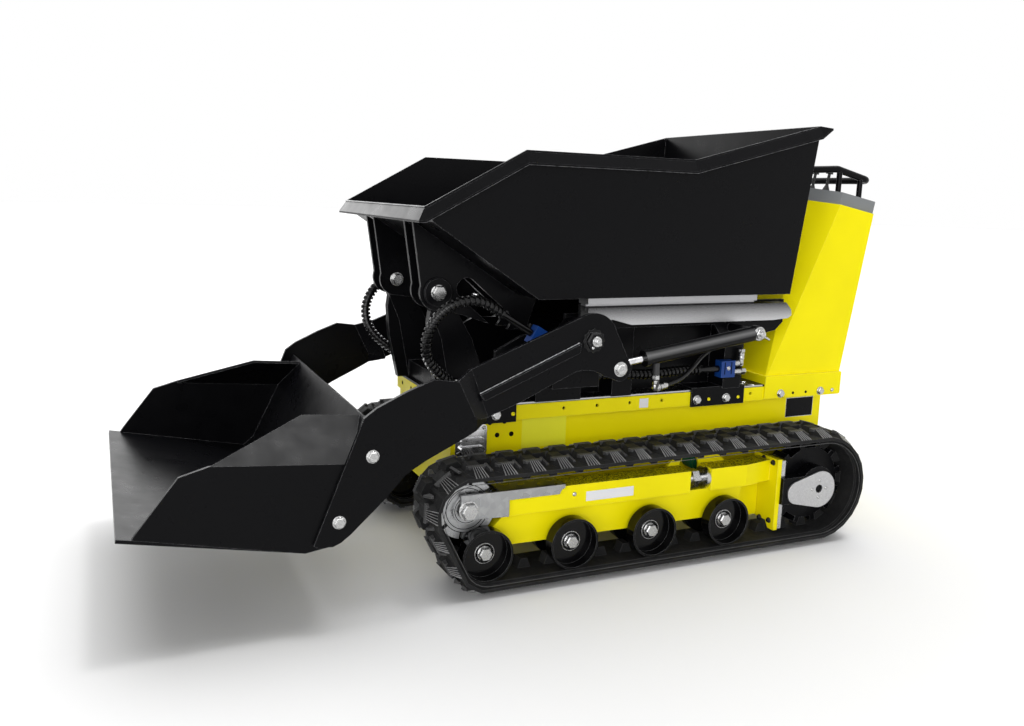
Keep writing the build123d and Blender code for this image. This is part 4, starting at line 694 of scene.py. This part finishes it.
# %% Lock ring, nut and pin end
LOCK_RING = ((0, 0.0300), (0.0025, 0.0300), (0.003, 0.0290))
ARM_NUT = ((0, 0.0235), (0.010, 0.0235), (0.0125, 0.0205))
PIN_END = ((0, 0.0125), (0.004, 0.0125), (0.005, 0.0115))
PIN_TIP = ((0, 0.0070), (0.007, 0.0070), (0.008, 0.0055))
lock_teeth = 12
tooth_depth = 0.12
for side, sign in SIDES:
    out = (0, sign, 0)
    mesh = bmesh.new()
    ring_place = (arm_pin_x, sign * 0.4152, arm_pin_z)
    turned(mesh, LOCK_RING, ring_place, out, 2 * lock_teeth, tooth_depth)
    turned(mesh, ARM_NUT, (arm_pin_x, sign * 0.4180, arm_pin_z), out, 6)
    put(f"arm_lock_ring_{side}", mesh, "chassis", "gloss_black")
    mesh = bmesh.new()
    turned(mesh, PIN_END, (arm_pin_x, sign * 0.4300, arm_pin_z), out)
    turned(mesh, PIN_TIP, (arm_pin_x, sign * 0.4340, arm_pin_z), out, 6)
    screw(mesh, (-0.006, sign * 0.4302, 0.604), out, 0.004)
    screw(mesh, (-0.026, sign * 0.4302, 0.611), out, 0.004)
    put(f"arm_pin_end_{side}", mesh, "chassis", "zinc_steel")
print("arm pins at", round(arm_pin_x, 3), round(arm_pin_z, 3))

# %% [markdown]
# ## The pins of the lift cylinders and the hopper
# The lift cylinder hangs on a pin with a washer, a nut and a split pin. The hopper's pin has a heavy
# black boss under a bolt head, and a second bolt head on its inner end. The bolts reuse the function
# above, because they are bought parts like the others.

# %% Lift pin and hopper pin
PIN_WASHER = ((0, 0.0185), (0.003, 0.0185))
PIN_NUT = ((0.003, 0.0155), (0.0105, 0.0155), (0.012, 0.0135))
PIN_SHANK = ((0.0, 0.0080), (0.019, 0.0080), (0.020, 0.0065))
SPLIT_PIN = ((0.0, 0.0035), (0.020, 0.0028))
HOPPER_BOSS = ((0, 0.036), (0.007, 0.036), (0.009, 0.034))
for side, sign in SIDES:
    out = (0, sign, 0)
    lift_pin_end = (lift_pin_x, sign * 0.3826, lift_pin_z)
    mesh = bmesh.new()
    turned(mesh, PIN_WASHER, lift_pin_end, out)
    turned(mesh, PIN_NUT, lift_pin_end, out, 6)
    turned(mesh, PIN_SHANK, lift_pin_end, out)
    turned(mesh, SPLIT_PIN, (-0.540, sign * 0.394, 0.607), (-1.0, sign * 0.4, -0.6), 8)
    put(f"lift_pin_nut_{side}", mesh, "chassis", "zinc_steel")
    mesh = bmesh.new()
    turned(mesh, HOPPER_BOSS, (hopper_pin_x, sign * 0.2101, hopper_pin_z), out, 36)
    put(f"hopper_pin_boss_{side}", mesh, "hopper", "black_paint")
    mesh = bmesh.new()
    bolt(mesh, (hopper_pin_x, sign * 0.2190, hopper_pin_z), out, 0.0190, 0.0110, 0.0195)
    bolt(mesh, (hopper_pin_x, sign * 0.1240, hopper_pin_z), (0, -sign, 0), 0.0160, 0.0100, 0.0190)
    put(f"hopper_pin_bolt_{side}", mesh, "hopper", "zinc_steel")
print("hopper pins at", round(hopper_pin_x, 3), round(hopper_pin_z, 3))

# %% [markdown]
# ## Plates, signs and the deck's edge
# Some thin things are only boxes: the zinc plate behind the gearbox, the aluminium edge of the deck,
# and the signs. A real machine has lettering there. Here every sign is blank. A box between two corners
# is quicker to check against its neighbours than a cube with a scale.

# %% Thin plates
def slab(mesh, low, high):
    """A box between two corners."""
    matrix = Matrix.Translation((Vector(low) + Vector(high)) / 2)
    matrix = matrix @ Matrix.Diagonal((*(Vector(high) - Vector(low)), 1.0))
    bmesh.ops.create_cube(mesh, size=1.0, matrix=matrix)


def side_slab(mesh, sign, x1, x2, y1, y2, z1, z2):
    """A box on one side of the machine; y1 and y2 count outwards from its middle."""
    slab(mesh, (x1, min(sign * y1, sign * y2), z1), (x2, max(sign * y1, sign * y2), z2))


SLABS = (
    # piece, finish, x from, x to, y from, y to, z from, z to
    ("gearbox_shim", "zinc_steel", -0.6674, -0.6552, 0.3480, 0.3786, 0.0495, 0.2485),
    ("deck_edge", "cover_aluminium", -0.6800, 0.2706, 0.2385, 0.2404, 0.4315, 0.4358),
    ("side_sign", "sign_yellow", -0.0570, 0.0720, 0.2119, 0.2124, 0.3060, 0.3850),
    ("beam_sign", "sign_white", -0.1820, -0.0420, 0.3648, 0.3653, 0.1975, 0.2230),
    ("rim_sign", "sign_white", -0.2930, -0.2650, 0.2399, 0.2404, 0.3960, 0.4220),
    ("name_plate", "black_paint", -0.8980, -0.7980, 0.2119, 0.2126, 0.3245, 0.3810),
    ("name_plate_edge", "zinc_steel", -0.8995, -0.7965, 0.2118, 0.2122, 0.3230, 0.3825),
)
for piece, finish, *corners in SLABS:
    for side, sign in SIDES:
        mesh = bmesh.new()
        side_slab(mesh, sign, *corners)
        put(f"{piece}_{side}", mesh, "chassis", finish)
print("thin plates:", 2 * len(SLABS))

# %% [markdown]
# ## Hoses
# Three hydraulic hoses run on each side: a loop from the clamp at the arm's pivot round to the front, a
# straight one low over the deck, and a short one on the lift cylinder. Each is a NURBS curve through a
# few route points with a round bevel, so it bends as one smooth line. Order 3 keeps it close to them.

# %% Hose routes and curves
ROUTES = (
    # hose, body, radius, real length, route points on the left side in metres
    ("hose_loop", "chassis", 0.009, 0.505, (
        (0.096, 0.300, 0.624), (0.158, 0.300, 0.662), (0.237, 0.300, 0.715), (0.321, 0.290, 0.693),
        (0.365, 0.275, 0.618), (0.340, 0.255, 0.534), (0.266, 0.234, 0.491),
    )),
    ("hose_deck", "chassis", 0.009, 0.425, (
        (-0.075, 0.264, 0.502), (-0.165, 0.264, 0.502), (-0.270, 0.269, 0.494),
        (-0.375, 0.266, 0.500), (-0.440, 0.264, 0.497), (-0.500, 0.264, 0.497),
    )),
    ("hose_lift", "lift_barrel", 0.006, 0.192, (
        (-0.262, 0.368, 0.487), (-0.305, 0.362, 0.494), (-0.352, 0.345, 0.518),
        (-0.395, 0.333, 0.554), (-0.424, 0.342, 0.574),
    )),
)


def hose_curve(name, route, radius):
    """A NURBS curve with the route's points as its control points."""
    data = bpy.data.curves.new(name, "CURVE")
    data.dimensions = "3D"
    data.resolution_u = 20
    data.bevel_depth = radius
    data.bevel_resolution = 6
    data.use_fill_caps = True
    spline = data.splines.new("NURBS")
    spline.points.add(len(route) - 1)
    for point, place in zip(spline.points, route):
        point.co = (*place, 1.0)
    spline.order_u = 3
    spline.use_endpoint_u = True
    curve = bpy.data.objects.new(name, data)
    bpy.context.scene.collection.objects.link(curve)
    return curve


def curve_line(curve):
    """Points along a curve, read from it while it has no bevel."""
    depth = curve.data.bevel_depth
    curve.data.bevel_depth = 0.0
    bpy.context.view_layer.update()
    line = bpy.data.meshes.new_from_object(curve)
    points = [vertex.co.copy() for vertex in line.vertices]
    bpy.data.meshes.remove(line)
    curve.data.bevel_depth = depth
    return points


print("hose routes:", [route[0] for route in ROUTES])

# %% [markdown]
# ## Spiral guards
# A flat plastic spiral is wound round the thick hoses so that they don't rub through. The guard follows
# the hose's own line: frames are carried along it without twist, and a ribbon is wound round them.
# Turning a texture into stripes would be quicker, but the guard's ridges show in outline against white.

# %% Wind a spiral guard
guard_pitch = 0.0125
guard_foot_half = 0.0042
guard_crest_half = 0.0030
guard_gap = 0.0004
guard_height = 0.0046
steps_per_turn = 16


def wound_guard(mesh, line, inner, outer, start, end):
    """Wind a ribbon round a line, from one share of its length to another."""
    ribbon = (
        (-guard_foot_half, inner), (-guard_crest_half, outer),
        (guard_crest_half, outer), (guard_foot_half, inner),
    )
    lengths = [0.0]
    for first, second in zip(line, line[1:]):
        lengths.append(lengths[-1] + (second - first).length)
    start, end = start * lengths[-1], end * lengths[-1]
    count = int((end - start) / guard_pitch * steps_per_turn)
    spoke = (line[1] - line[0]).normalized().cross(Vector((0, 1, 0))).normalized()
    index = 0
    rings = []
    for number in range(count + 1):
        distance = start + (end - start) * number / count
        while index < len(line) - 2 and lengths[index + 1] < distance:
            index += 1
        run = line[index + 1] - line[index]
        centre = line[index] + run * ((distance - lengths[index]) / run.length)
        along = run.normalized()
        spoke = (spoke - along * spoke.dot(along)).normalized()
        across = along.cross(spoke)
        angle = 2 * math.pi * number / steps_per_turn
        radial = spoke * math.cos(angle) + across * math.sin(angle)
        ring = [mesh.verts.new(centre + along * shift + radial * reach) for shift, reach in ribbon]
        rings.append(ring)
    for near, far in zip(rings, rings[1:]):
        for corner in range(4):
            after = (corner + 1) % 4
            mesh.faces.new((near[corner], near[after], far[after], far[corner]))
    mesh.faces.new(rings[0][::-1])
    mesh.faces.new(rings[-1])


# %% [markdown]
# ## Lay the hoses
# Each curve stands in for one CAD hose and rides on the same body, so a pose carries it along. The
# thick hoses get a guard over part of their length, which leaves their ends bare for the clamp.

# %% Hoses with their guards
GUARDED = {
    # hose: the shares of its length between which the guard runs
    "hose_loop": (0.17, 0.97),
    "hose_deck": (0.02, 0.86),
}
for hose, body, radius, length, route in ROUTES:
    for side, sign in SIDES:
        places = [(x, sign * y, z) for x, y, z in route]
        curve = hose_curve(f"{hose}_curve_{side}", places, radius)
        curve.data.materials.append(finishes["hose_rubber"])
        rides = body if body == "chassis" else f"{body}_{side}"
        if hose in GUARDED:
            mesh = bmesh.new()
            inner, outer = radius + guard_gap, radius + guard_height
            wound_guard(mesh, curve_line(curve), inner, outer, *GUARDED[hose])
            put(f"{hose}_guard_{side}", mesh, rides, "hose_rubber")
        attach(curve, rides)
        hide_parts(f"{hose}_{side}")
print("hoses:", 2 * len(ROUTES))

# %% [markdown]
# ## Hose fittings
# Where a hose ends, a crimped ferrule and a hexagon nut take over. They are bright zinc, and they catch
# the light between the black pieces. Each is a turned profile with two steps and a nut.

# %% Ferrules, nuts and elbows
ferrule_radius = 0.0088


def fitting(mesh, place, axis, radius, length):
    """A crimped ferrule with a hexagon nut at its far end."""
    ferrule = (
        (0, radius * 0.86), (0.002, radius), (length * 0.28, radius), (length * 0.34, radius * 0.92),
        (length * 0.40, radius), (length * 0.62, radius), (length * 0.66, radius * 0.7),
        (length, radius * 0.7),
    )
    turned(mesh, ferrule, place, axis, 20)
    nut = ((length * 0.70, radius * 1.12), (length * 0.94, radius * 1.12), (length, radius))
    turned(mesh, nut, place, axis, 6)


for side, sign in SIDES:
    mesh = bmesh.new()
    fitting(mesh, (-0.262, sign * 0.368, 0.487), (0.98, sign * 0.137, -0.16), ferrule_radius, 0.036)
    fitting(mesh, (-0.2262, sign * 0.371, 0.479), (0.0, 0.0, 1.0), 0.0090, 0.036)
    fitting(mesh, (-0.424, sign * 0.342, 0.574), (-0.80, sign * 0.25, 0.55), ferrule_radius, 0.026)
    put(f"lift_fittings_{side}", mesh, f"lift_barrel_{side}", "zinc_steel")
    mesh = bmesh.new()
    for z, reach in ((0.510, 0.034), (0.486, 0.046)):
        fitting(mesh, (-0.545, sign * 0.265, z), (-1, 0, 0), ferrule_radius, reach)
    turned(mesh, ((0, 0.0075), (0.03, 0.0075)), (-0.576, sign * 0.265, 0.503), (0, 0, 1), 16)
    fitting(mesh, (-0.576, sign * 0.265, 0.520), (0, 0, 1), ferrule_radius, 0.030)
    put(f"deck_fittings_{side}", mesh, "chassis", "zinc_steel")
    mesh = bmesh.new()
    fitting(mesh, (0.270, sign * 0.236, 0.494), (-0.85, sign * -0.24, -0.47), 0.0136, 0.040)
    put(f"loop_fitting_{side}", mesh, "chassis", "zinc_steel")
print("fitting pieces:", 3 * len(SIDES))

# %% [markdown]
# ## The belt's path
# The rubber belt runs round the sprocket, the last road wheel before the slope, and the idler. Its steel
# cords lie 10 mm above its inner face, and they keep their length, so the lugs are spaced along the
# cords. Walking round three arcs and three straight runs gives each lug its place and its outward angle.

# %% Follow the belt
WRAPPED = (
    # x, z and radius of the belt's inner face on the sprocket, the front road wheel and the idler
    (sprocket_x, sprocket_z, 0.132), (first_wheel_x, wheel_z, 0.066), (idler_x, idler_z, 0.076),
)
cord_depth = 0.010
lug_count = 39


def normal_angle(first, second):
    """Outward angle of the straight run from one wheel to the next."""
    run = Vector((second[0] - first[0], second[1] - first[1]))
    return math.atan2(run.y, run.x) - math.pi / 2 + math.asin((first[2] - second[2]) / run.length)


stretches = []
for number, wheel in enumerate(WRAPPED):
    after = WRAPPED[(number + 1) % 3]
    turn_in, turn_out = normal_angle(WRAPPED[number - 1], wheel), normal_angle(wheel, after)
    while turn_out < turn_in:
        turn_out += 2 * math.pi
    ray = Vector((math.cos(turn_out), math.sin(turn_out)))
    leave = Vector(wheel[:2]) + ray * wheel[2]
    arrive = Vector(after[:2]) + ray * after[2]
    stretches.append(("arc", (wheel[2] + cord_depth) * (turn_out - turn_in), wheel, turn_in))
    stretches.append(("run", (arrive - leave).length, leave, arrive, turn_out))
belt_length = sum(stretch[1] for stretch in stretches)
lug_pitch = belt_length / lug_count


def belt_axes(distance):
    """Point on the belt's inner face, and the directions along the belt and out of it."""
    first = stretches[0]
    distance = (distance + (first[2][2] + cord_depth) * (math.pi - first[3])) % belt_length
    for stretch in stretches:
        if distance <= stretch[1]:
            break
        distance -= stretch[1]
    if stretch[0] == "arc":
        x, z, radius = stretch[2]
        angle = stretch[3] + distance / (radius + cord_depth)
        centre = Vector((x + radius * math.cos(angle), z + radius * math.sin(angle)))
    else:
        angle = stretch[4]
        centre = stretch[2].lerp(stretch[3], distance / stretch[1])
    forward = Vector((-math.sin(angle), 0, math.cos(angle)))
    away = Vector((math.cos(angle), 0, math.sin(angle)))
    return Vector((centre.x, 0, centre.y)), forward, away


print("belt", round(belt_length, 4), "m, pitch", round(lug_pitch * 1000, 2), "mm")

# %% [markdown]
# ## Ridges on the belts
# Each lug has a wide wing at its shoulder and five thin ribs that fan out down its ramp, and a slanted
# tab stands in each pocket. The ribs are scuffed pale by the ground. Sculpting one lug and repeating it
# with an Array along a curve would bend the ribs on the small idler, so each is placed by itself, in the
# same staggered rows as the CAD lugs.

# %% Wings, tabs and ribs
belt_outer_y = 0.415
belt_width = 0.180
ground_gap = 0.0003
# each outline: its depth in from the belt's edge, then its corners (along the belt, out of it)
WING = (
    (0.037, ((-0.018, 0.026), (0.018, 0.026), (0.022, 0.0335), (-0.022, 0.0335))),
    (0.050, ((-0.023, 0.024), (0.023, 0.024), (0.024, 0.0338), (-0.024, 0.0338))),
)
TAB = (
    (0.040, ((-0.001, 0.015), (0.007, 0.015), (0.004, 0.021), (-0.001, 0.021))),
    (0.070, ((-0.008, 0.015), (0.003, 0.015), (0.0, 0.030), (-0.006, 0.030))),
)
RIB = (
    (0.041, ((-0.0008, 0.0318), (0.0008, 0.0318), (0, 0.0345))),
    (0.0004, ((-0.0011, 0.0146), (0.0011, 0.0146), (0, 0.0186))),
)
ribs_each_way = 2
rib_spacing_top = 0.0048
rib_spacing_foot = 0.0075


def wedge(mesh, near, far):
    """A solid between two outlines with the same number of corners."""
    first = [mesh.verts.new(corner) for corner in near]
    second = [mesh.verts.new(corner) for corner in far]
    count = len(first)
    for step in range(count):
        after = (step + 1) % count
        mesh.faces.new((first[step], first[after], second[after], second[step]))
    mesh.faces.new(first[::-1])
    mesh.faces.new(second)


def ridge(mesh, lug, outlines, shifts=(0.0, 0.0)):
    """A solid between two outlines, each moved along the belt from the lug's middle."""
    base, forward, away, edge_y, inward = lug
    ends = []
    for (depth, corners), shift in zip(outlines, shifts):
        end = []
        for along, out in corners:
            place = base + forward * (shift + along) + away * out
            place.y = edge_y - inward * depth
            place.z = max(place.z, ground_gap)
            end.append(place)
        ends.append(end)
    wedge(mesh, *ends)


for side, sign in SIDES:
    wings, ribs = bmesh.new(), bmesh.new()
    for row_start, edge, inward in ((0.0, 0.0, 1), (0.5, belt_width, -1)):
        for number in range(lug_count):
            axes = belt_axes((number + row_start) * lug_pitch)
            lug = (*axes, sign * (belt_outer_y - edge), sign * inward)
            ridge(wings, lug, WING)
            ridge(wings, lug, TAB, (lug_pitch / 2, lug_pitch / 2))
            for rib in range(-ribs_each_way, ribs_each_way + 1):
                ridge(ribs, lug, RIB, (rib * rib_spacing_top, rib * rib_spacing_foot))
    put(f"belt_wings_{side}", wings, "chassis", "rubbed_rubber")
    put(f"belt_ribs_{side}", ribs, "chassis", "scuffed_rubber")
print("lugs dressed on each belt:", 2 * lug_count)

# %% [markdown]
# ## The pale line on the belt
# A pale line runs along the belt's outer edge, just above its inner face: a painted highlight where that
# edge catches the light. It is a thin band that follows the same path, because a painted line would need
# a picture and an unwrapped mesh.

# %% A band along the belt's edge
RIM_BAND = ((0.0, 0.0005), (0.0, 0.0020), (0.0006, 0.0020), (0.0006, 0.0005))
bands_per_lug = 4
for side, sign in SIDES:
    mesh = bmesh.new()
    rings = []
    for step in range(bands_per_lug * lug_count):
        base, forward, away = belt_axes(step * lug_pitch / bands_per_lug)
        base.y = sign * belt_outer_y
        rings.append([mesh.verts.new(base + away * out + Vector((0, sign * y, 0))) for y, out in RIM_BAND])
    for near, far in zip(rings, rings[1:] + rings[:1]):
        for corner in range(4):
            after = (corner + 1) % 4
            mesh.faces.new((near[corner], near[after], far[after], far[corner]))
    # the pale line's lighter rubber is a painted highlight
    put(f"belt_rim_line_{side}", mesh, "chassis", "rubbed_rubber")
print("rubbed lines:", len(SIDES))

# %% [markdown]
# ## Chequer plate
# The deck is chequer plate: rows of small raised lozenges, each second one turned the other way, worn
# bright on top. They are real geometry, 1.4 mm high, because the deck is seen at a flat angle, where a
# bump in the material would disappear.

# %% Lozenges on the deck
deck_z = 0.436
lozenge_spacing = 0.021
lozenge_rows_each_way = 11
lozenge_columns = 44
lozenge_first_x = 0.258
lozenge_half_long = 0.011
lozenge_half_short = 0.0034
lozenge_height = 0.0014
lozenge_top_share = 0.45
covered_half_width = 0.185
mesh = bmesh.new()
lift = Vector((0, 0, lozenge_height))
for row in range(-lozenge_rows_each_way, lozenge_rows_each_way + 1):
    y = row * lozenge_spacing
    if abs(y) < covered_half_width:
        continue
    for column in range(lozenge_columns):
        turn = math.radians(45 if (row + column) % 2 else -45)
        long = Vector((math.cos(turn), math.sin(turn), 0)) * lozenge_half_long
        short = Vector((-math.sin(turn), math.cos(turn), 0)) * lozenge_half_short
        middle = Vector((lozenge_first_x - column * lozenge_spacing, y, deck_z))
        steps = (long, short, -long, -short)
        base = [mesh.verts.new(middle + step) for step in steps]
        top = [mesh.verts.new(middle + step * lozenge_top_share + lift) for step in steps]
        for corner in range(4):
            after = (corner + 1) % 4
            mesh.faces.new((base[corner], base[after], top[after], top[corner]))
        mesh.faces.new(top)
lozenges = len(mesh.verts) // 8
put("deck_lozenges", mesh, "chassis", "zinc_steel")
print("lozenges:", lozenges)

# %% [markdown]
# ## Weld beads
# The rib on each arm is welded on, and a weld is a row of overlapping scales. Here it is a thin tube
# whose radius swells once for each scale, and two slow waves keep the scales from looking stamped.

# %% Welds along the arm ribs
weld_radius = 0.0021
weld_step = 0.0016
steps_per_scale = 3.3


def weld(mesh, start, end):
    """A scaly bead between two points."""
    length = (Vector(end) - Vector(start)).length
    steps = max(4, int(length / weld_step))
    profile = []
    for step in range(steps + 1):
        scale = abs(math.sin(math.pi * step / steps_per_scale))
        drift = 0.55 + 0.45 * math.sin(0.71 * step) * math.sin(0.23 * step)
        profile.append((length * step / steps, weld_radius * (0.30 + 0.70 * scale * drift)))
    turned(mesh, profile, start, Vector(end) - Vector(start), 10)


arm_face_y = 0.4155
for side, sign in SIDES:
    mesh = bmesh.new()
    weld(mesh, (0.276, sign * arm_face_y, 0.5078), (0.022, sign * arm_face_y, 0.6153))
    weld(mesh, (0.264, sign * arm_face_y, 0.4915), (0.274, sign * arm_face_y, 0.5065))
    put(f"arm_weld_{side}", mesh, "loader", "galvanised_steel")
print("welds:", 2 * len(SIDES))

# %% [markdown]
# ## The web under the arm
# Below its crank the arm is wider than a plain bar: a web hangs under it down to the bucket's pins, as
# deep as the bucket's own side. It is a flat plate in the plane of the arm, so an outline and two faces
# are enough. A short wedge carries it up the arm's sloping crank.

# %% Arm webs
def cut_plate(mesh, outline, near_y, far_y):
    """A flat plate with an outline of (x, z) corners between two values of y."""
    wedge(mesh, [(x, near_y, z) for x, z in outline], [(x, far_y, z) for x, z in outline])


ARM_WEB = (
    (0.297, 0.458), (0.404, 0.442), (0.455, 0.423), (0.482, 0.400), (0.567, 0.321), (0.616, 0.222),
    (0.640, 0.2015), (0.626, 0.2000), (0.608, 0.2075), (0.585, 0.2250), (0.555, 0.253),
    (0.533, 0.273), (0.508, 0.297), (0.481, 0.326), (0.466, 0.343), (0.450, 0.354),
    (0.419, 0.372), (0.382, 0.390), (0.340, 0.410), (0.297, 0.432),
)
CRANK_TOP = ((0.4054, 0.452), (0.4148, 0.452), (0.4148, 0.444), (0.4054, 0.444))
CRANK_FOOT = ((0.4428, 0.457), (0.4534, 0.457), (0.4534, 0.430), (0.4428, 0.430))
for side, sign in SIDES:
    mesh = bmesh.new()
    cut_plate(mesh, ARM_WEB, sign * 0.4428, sign * 0.4534)
    crank_top = [(0.258, sign * y, z) for y, z in CRANK_TOP]
    crank_foot = [(0.300, sign * y, z) for y, z in CRANK_FOOT]
    wedge(mesh, crank_top, crank_foot)
    put(f"arm_web_{side}", mesh, "loader", "plain_black")
print("arm web corners:", len(ARM_WEB))

# %% [markdown]
# ## The web in front of the upright
# A second plate fills the corner in front of each upright that carries the hopper. It reaches from the
# deck to just under the hopper's pin, and it stiffens the upright when the hopper tips forward.

# %% Upright webs
UPRIGHT_WEB = (
    (0.256, 0.4365), (0.292, 0.4365), (0.318, 0.560), (0.323, 0.640), (0.314, 0.700), (0.285, 0.700),
    (0.270, 0.560),
)
for side, sign in SIDES:
    mesh = bmesh.new()
    cut_plate(mesh, UPRIGHT_WEB, sign * 0.1640, sign * 0.1880)
    put(f"upright_web_{side}", mesh, "chassis", "black_paint")
print("upright webs:", len(SIDES))

# %% [markdown]
# ## Details on the blue clamps
# A nylon clamp is made in two halves with a gap beside each hose, and one bolt pulls them together. The
# gaps are thin dark strips on the face that is seen, since the CAD clamp is one plain block.

# %% Clamp grooves and bolts
clamp_middle_x = -0.5225
clamp_face_y = 0.2800
groove_offset = 0.011
groove_y = (clamp_face_y - 0.0005, clamp_face_y + 0.0003)
for side, sign in SIDES:
    mesh = bmesh.new()
    for x in (clamp_middle_x - groove_offset, clamp_middle_x + groove_offset):
        side_slab(mesh, sign, x - 0.0015, x + 0.0015, *groove_y, 0.483, 0.517)
    put(f"clamp_grooves_{side}", mesh, "chassis", "shadow_hole")
    mesh = bmesh.new()
    bolt(mesh, (clamp_middle_x, sign * clamp_face_y, 0.500), (0, sign, 0), 0.0045, 0.0030, 0.0058)
    put(f"clamp_bolt_{side}", mesh, "chassis", "zinc_steel")
print("clamps dressed:", len(SIDES))

# %% [markdown]
# ## Turned grooves on the idler
# The idler is turned on a lathe, which leaves steps round its hub. From the side only their dark lines
# are seen, so each is a dark ring that lies almost flush with the face: painted shade for the step.

# %% Idler grooves
GROOVES = (
    # y of the face, outer radius
    (0.3653, 0.0330), (0.3563, 0.0600), (0.3563, 0.0520),
)
groove_width = 0.0016
for side, sign in SIDES:
    mesh = bmesh.new()
    for y, radius in GROOVES:
        inner = radius - groove_width
        groove = ((-0.0008, radius), (0.0003, radius), (0.0003, inner), (-0.0008, inner))
        turned(mesh, groove, (idler_x, sign * y, idler_z), (0, sign, 0), 48)
    put(f"idler_grooves_{side}", mesh, "chassis", "shadow_hole")
print("idler grooves on each side:", len(GROOVES))

# %% [markdown]
# ## Behind the road wheels
# Four black bolts hold the drive plate, a short yellow plate ends the keel in front of it, and the
# green end of a small motor stands out of the chassis in the gap over the beam. They are small, but they
# are what shows between the belt's two runs, and without them the gap looks empty.

# %% Drive bolts, keel end and motor end
DRIVE_BOLTS = ((0.318, 0.066), (0.358, 0.070), (0.318, 0.243), (0.358, 0.239))
MOTOR_END = ((0, 0.021), (0.040, 0.021), (0.044, 0.018), (0.052, 0.018))
for side, sign in SIDES:
    mesh = bmesh.new()
    for y, z in DRIVE_BOLTS:
        bolt(mesh, (-0.6412, sign * y, z), (1, 0, 0), 0.0062, 0.0050, 0.0080)
    put(f"drive_bolts_{side}", mesh, "chassis", "gloss_black")
    mesh = bmesh.new()
    side_slab(mesh, sign, -0.6400, -0.5600, 0.290, 0.300, 0.070, 0.190)
    put(f"keel_end_{side}", mesh, "chassis", "yellow_paint")
    mesh = bmesh.new()
    turned(mesh, MOTOR_END, (-0.455, sign * 0.2121, 0.228), (0, sign, 0), 32)
    put(f"green_motor_{side}", mesh, "chassis", "green_motor")
print("drive bolts on each side:", len(DRIVE_BOLTS))
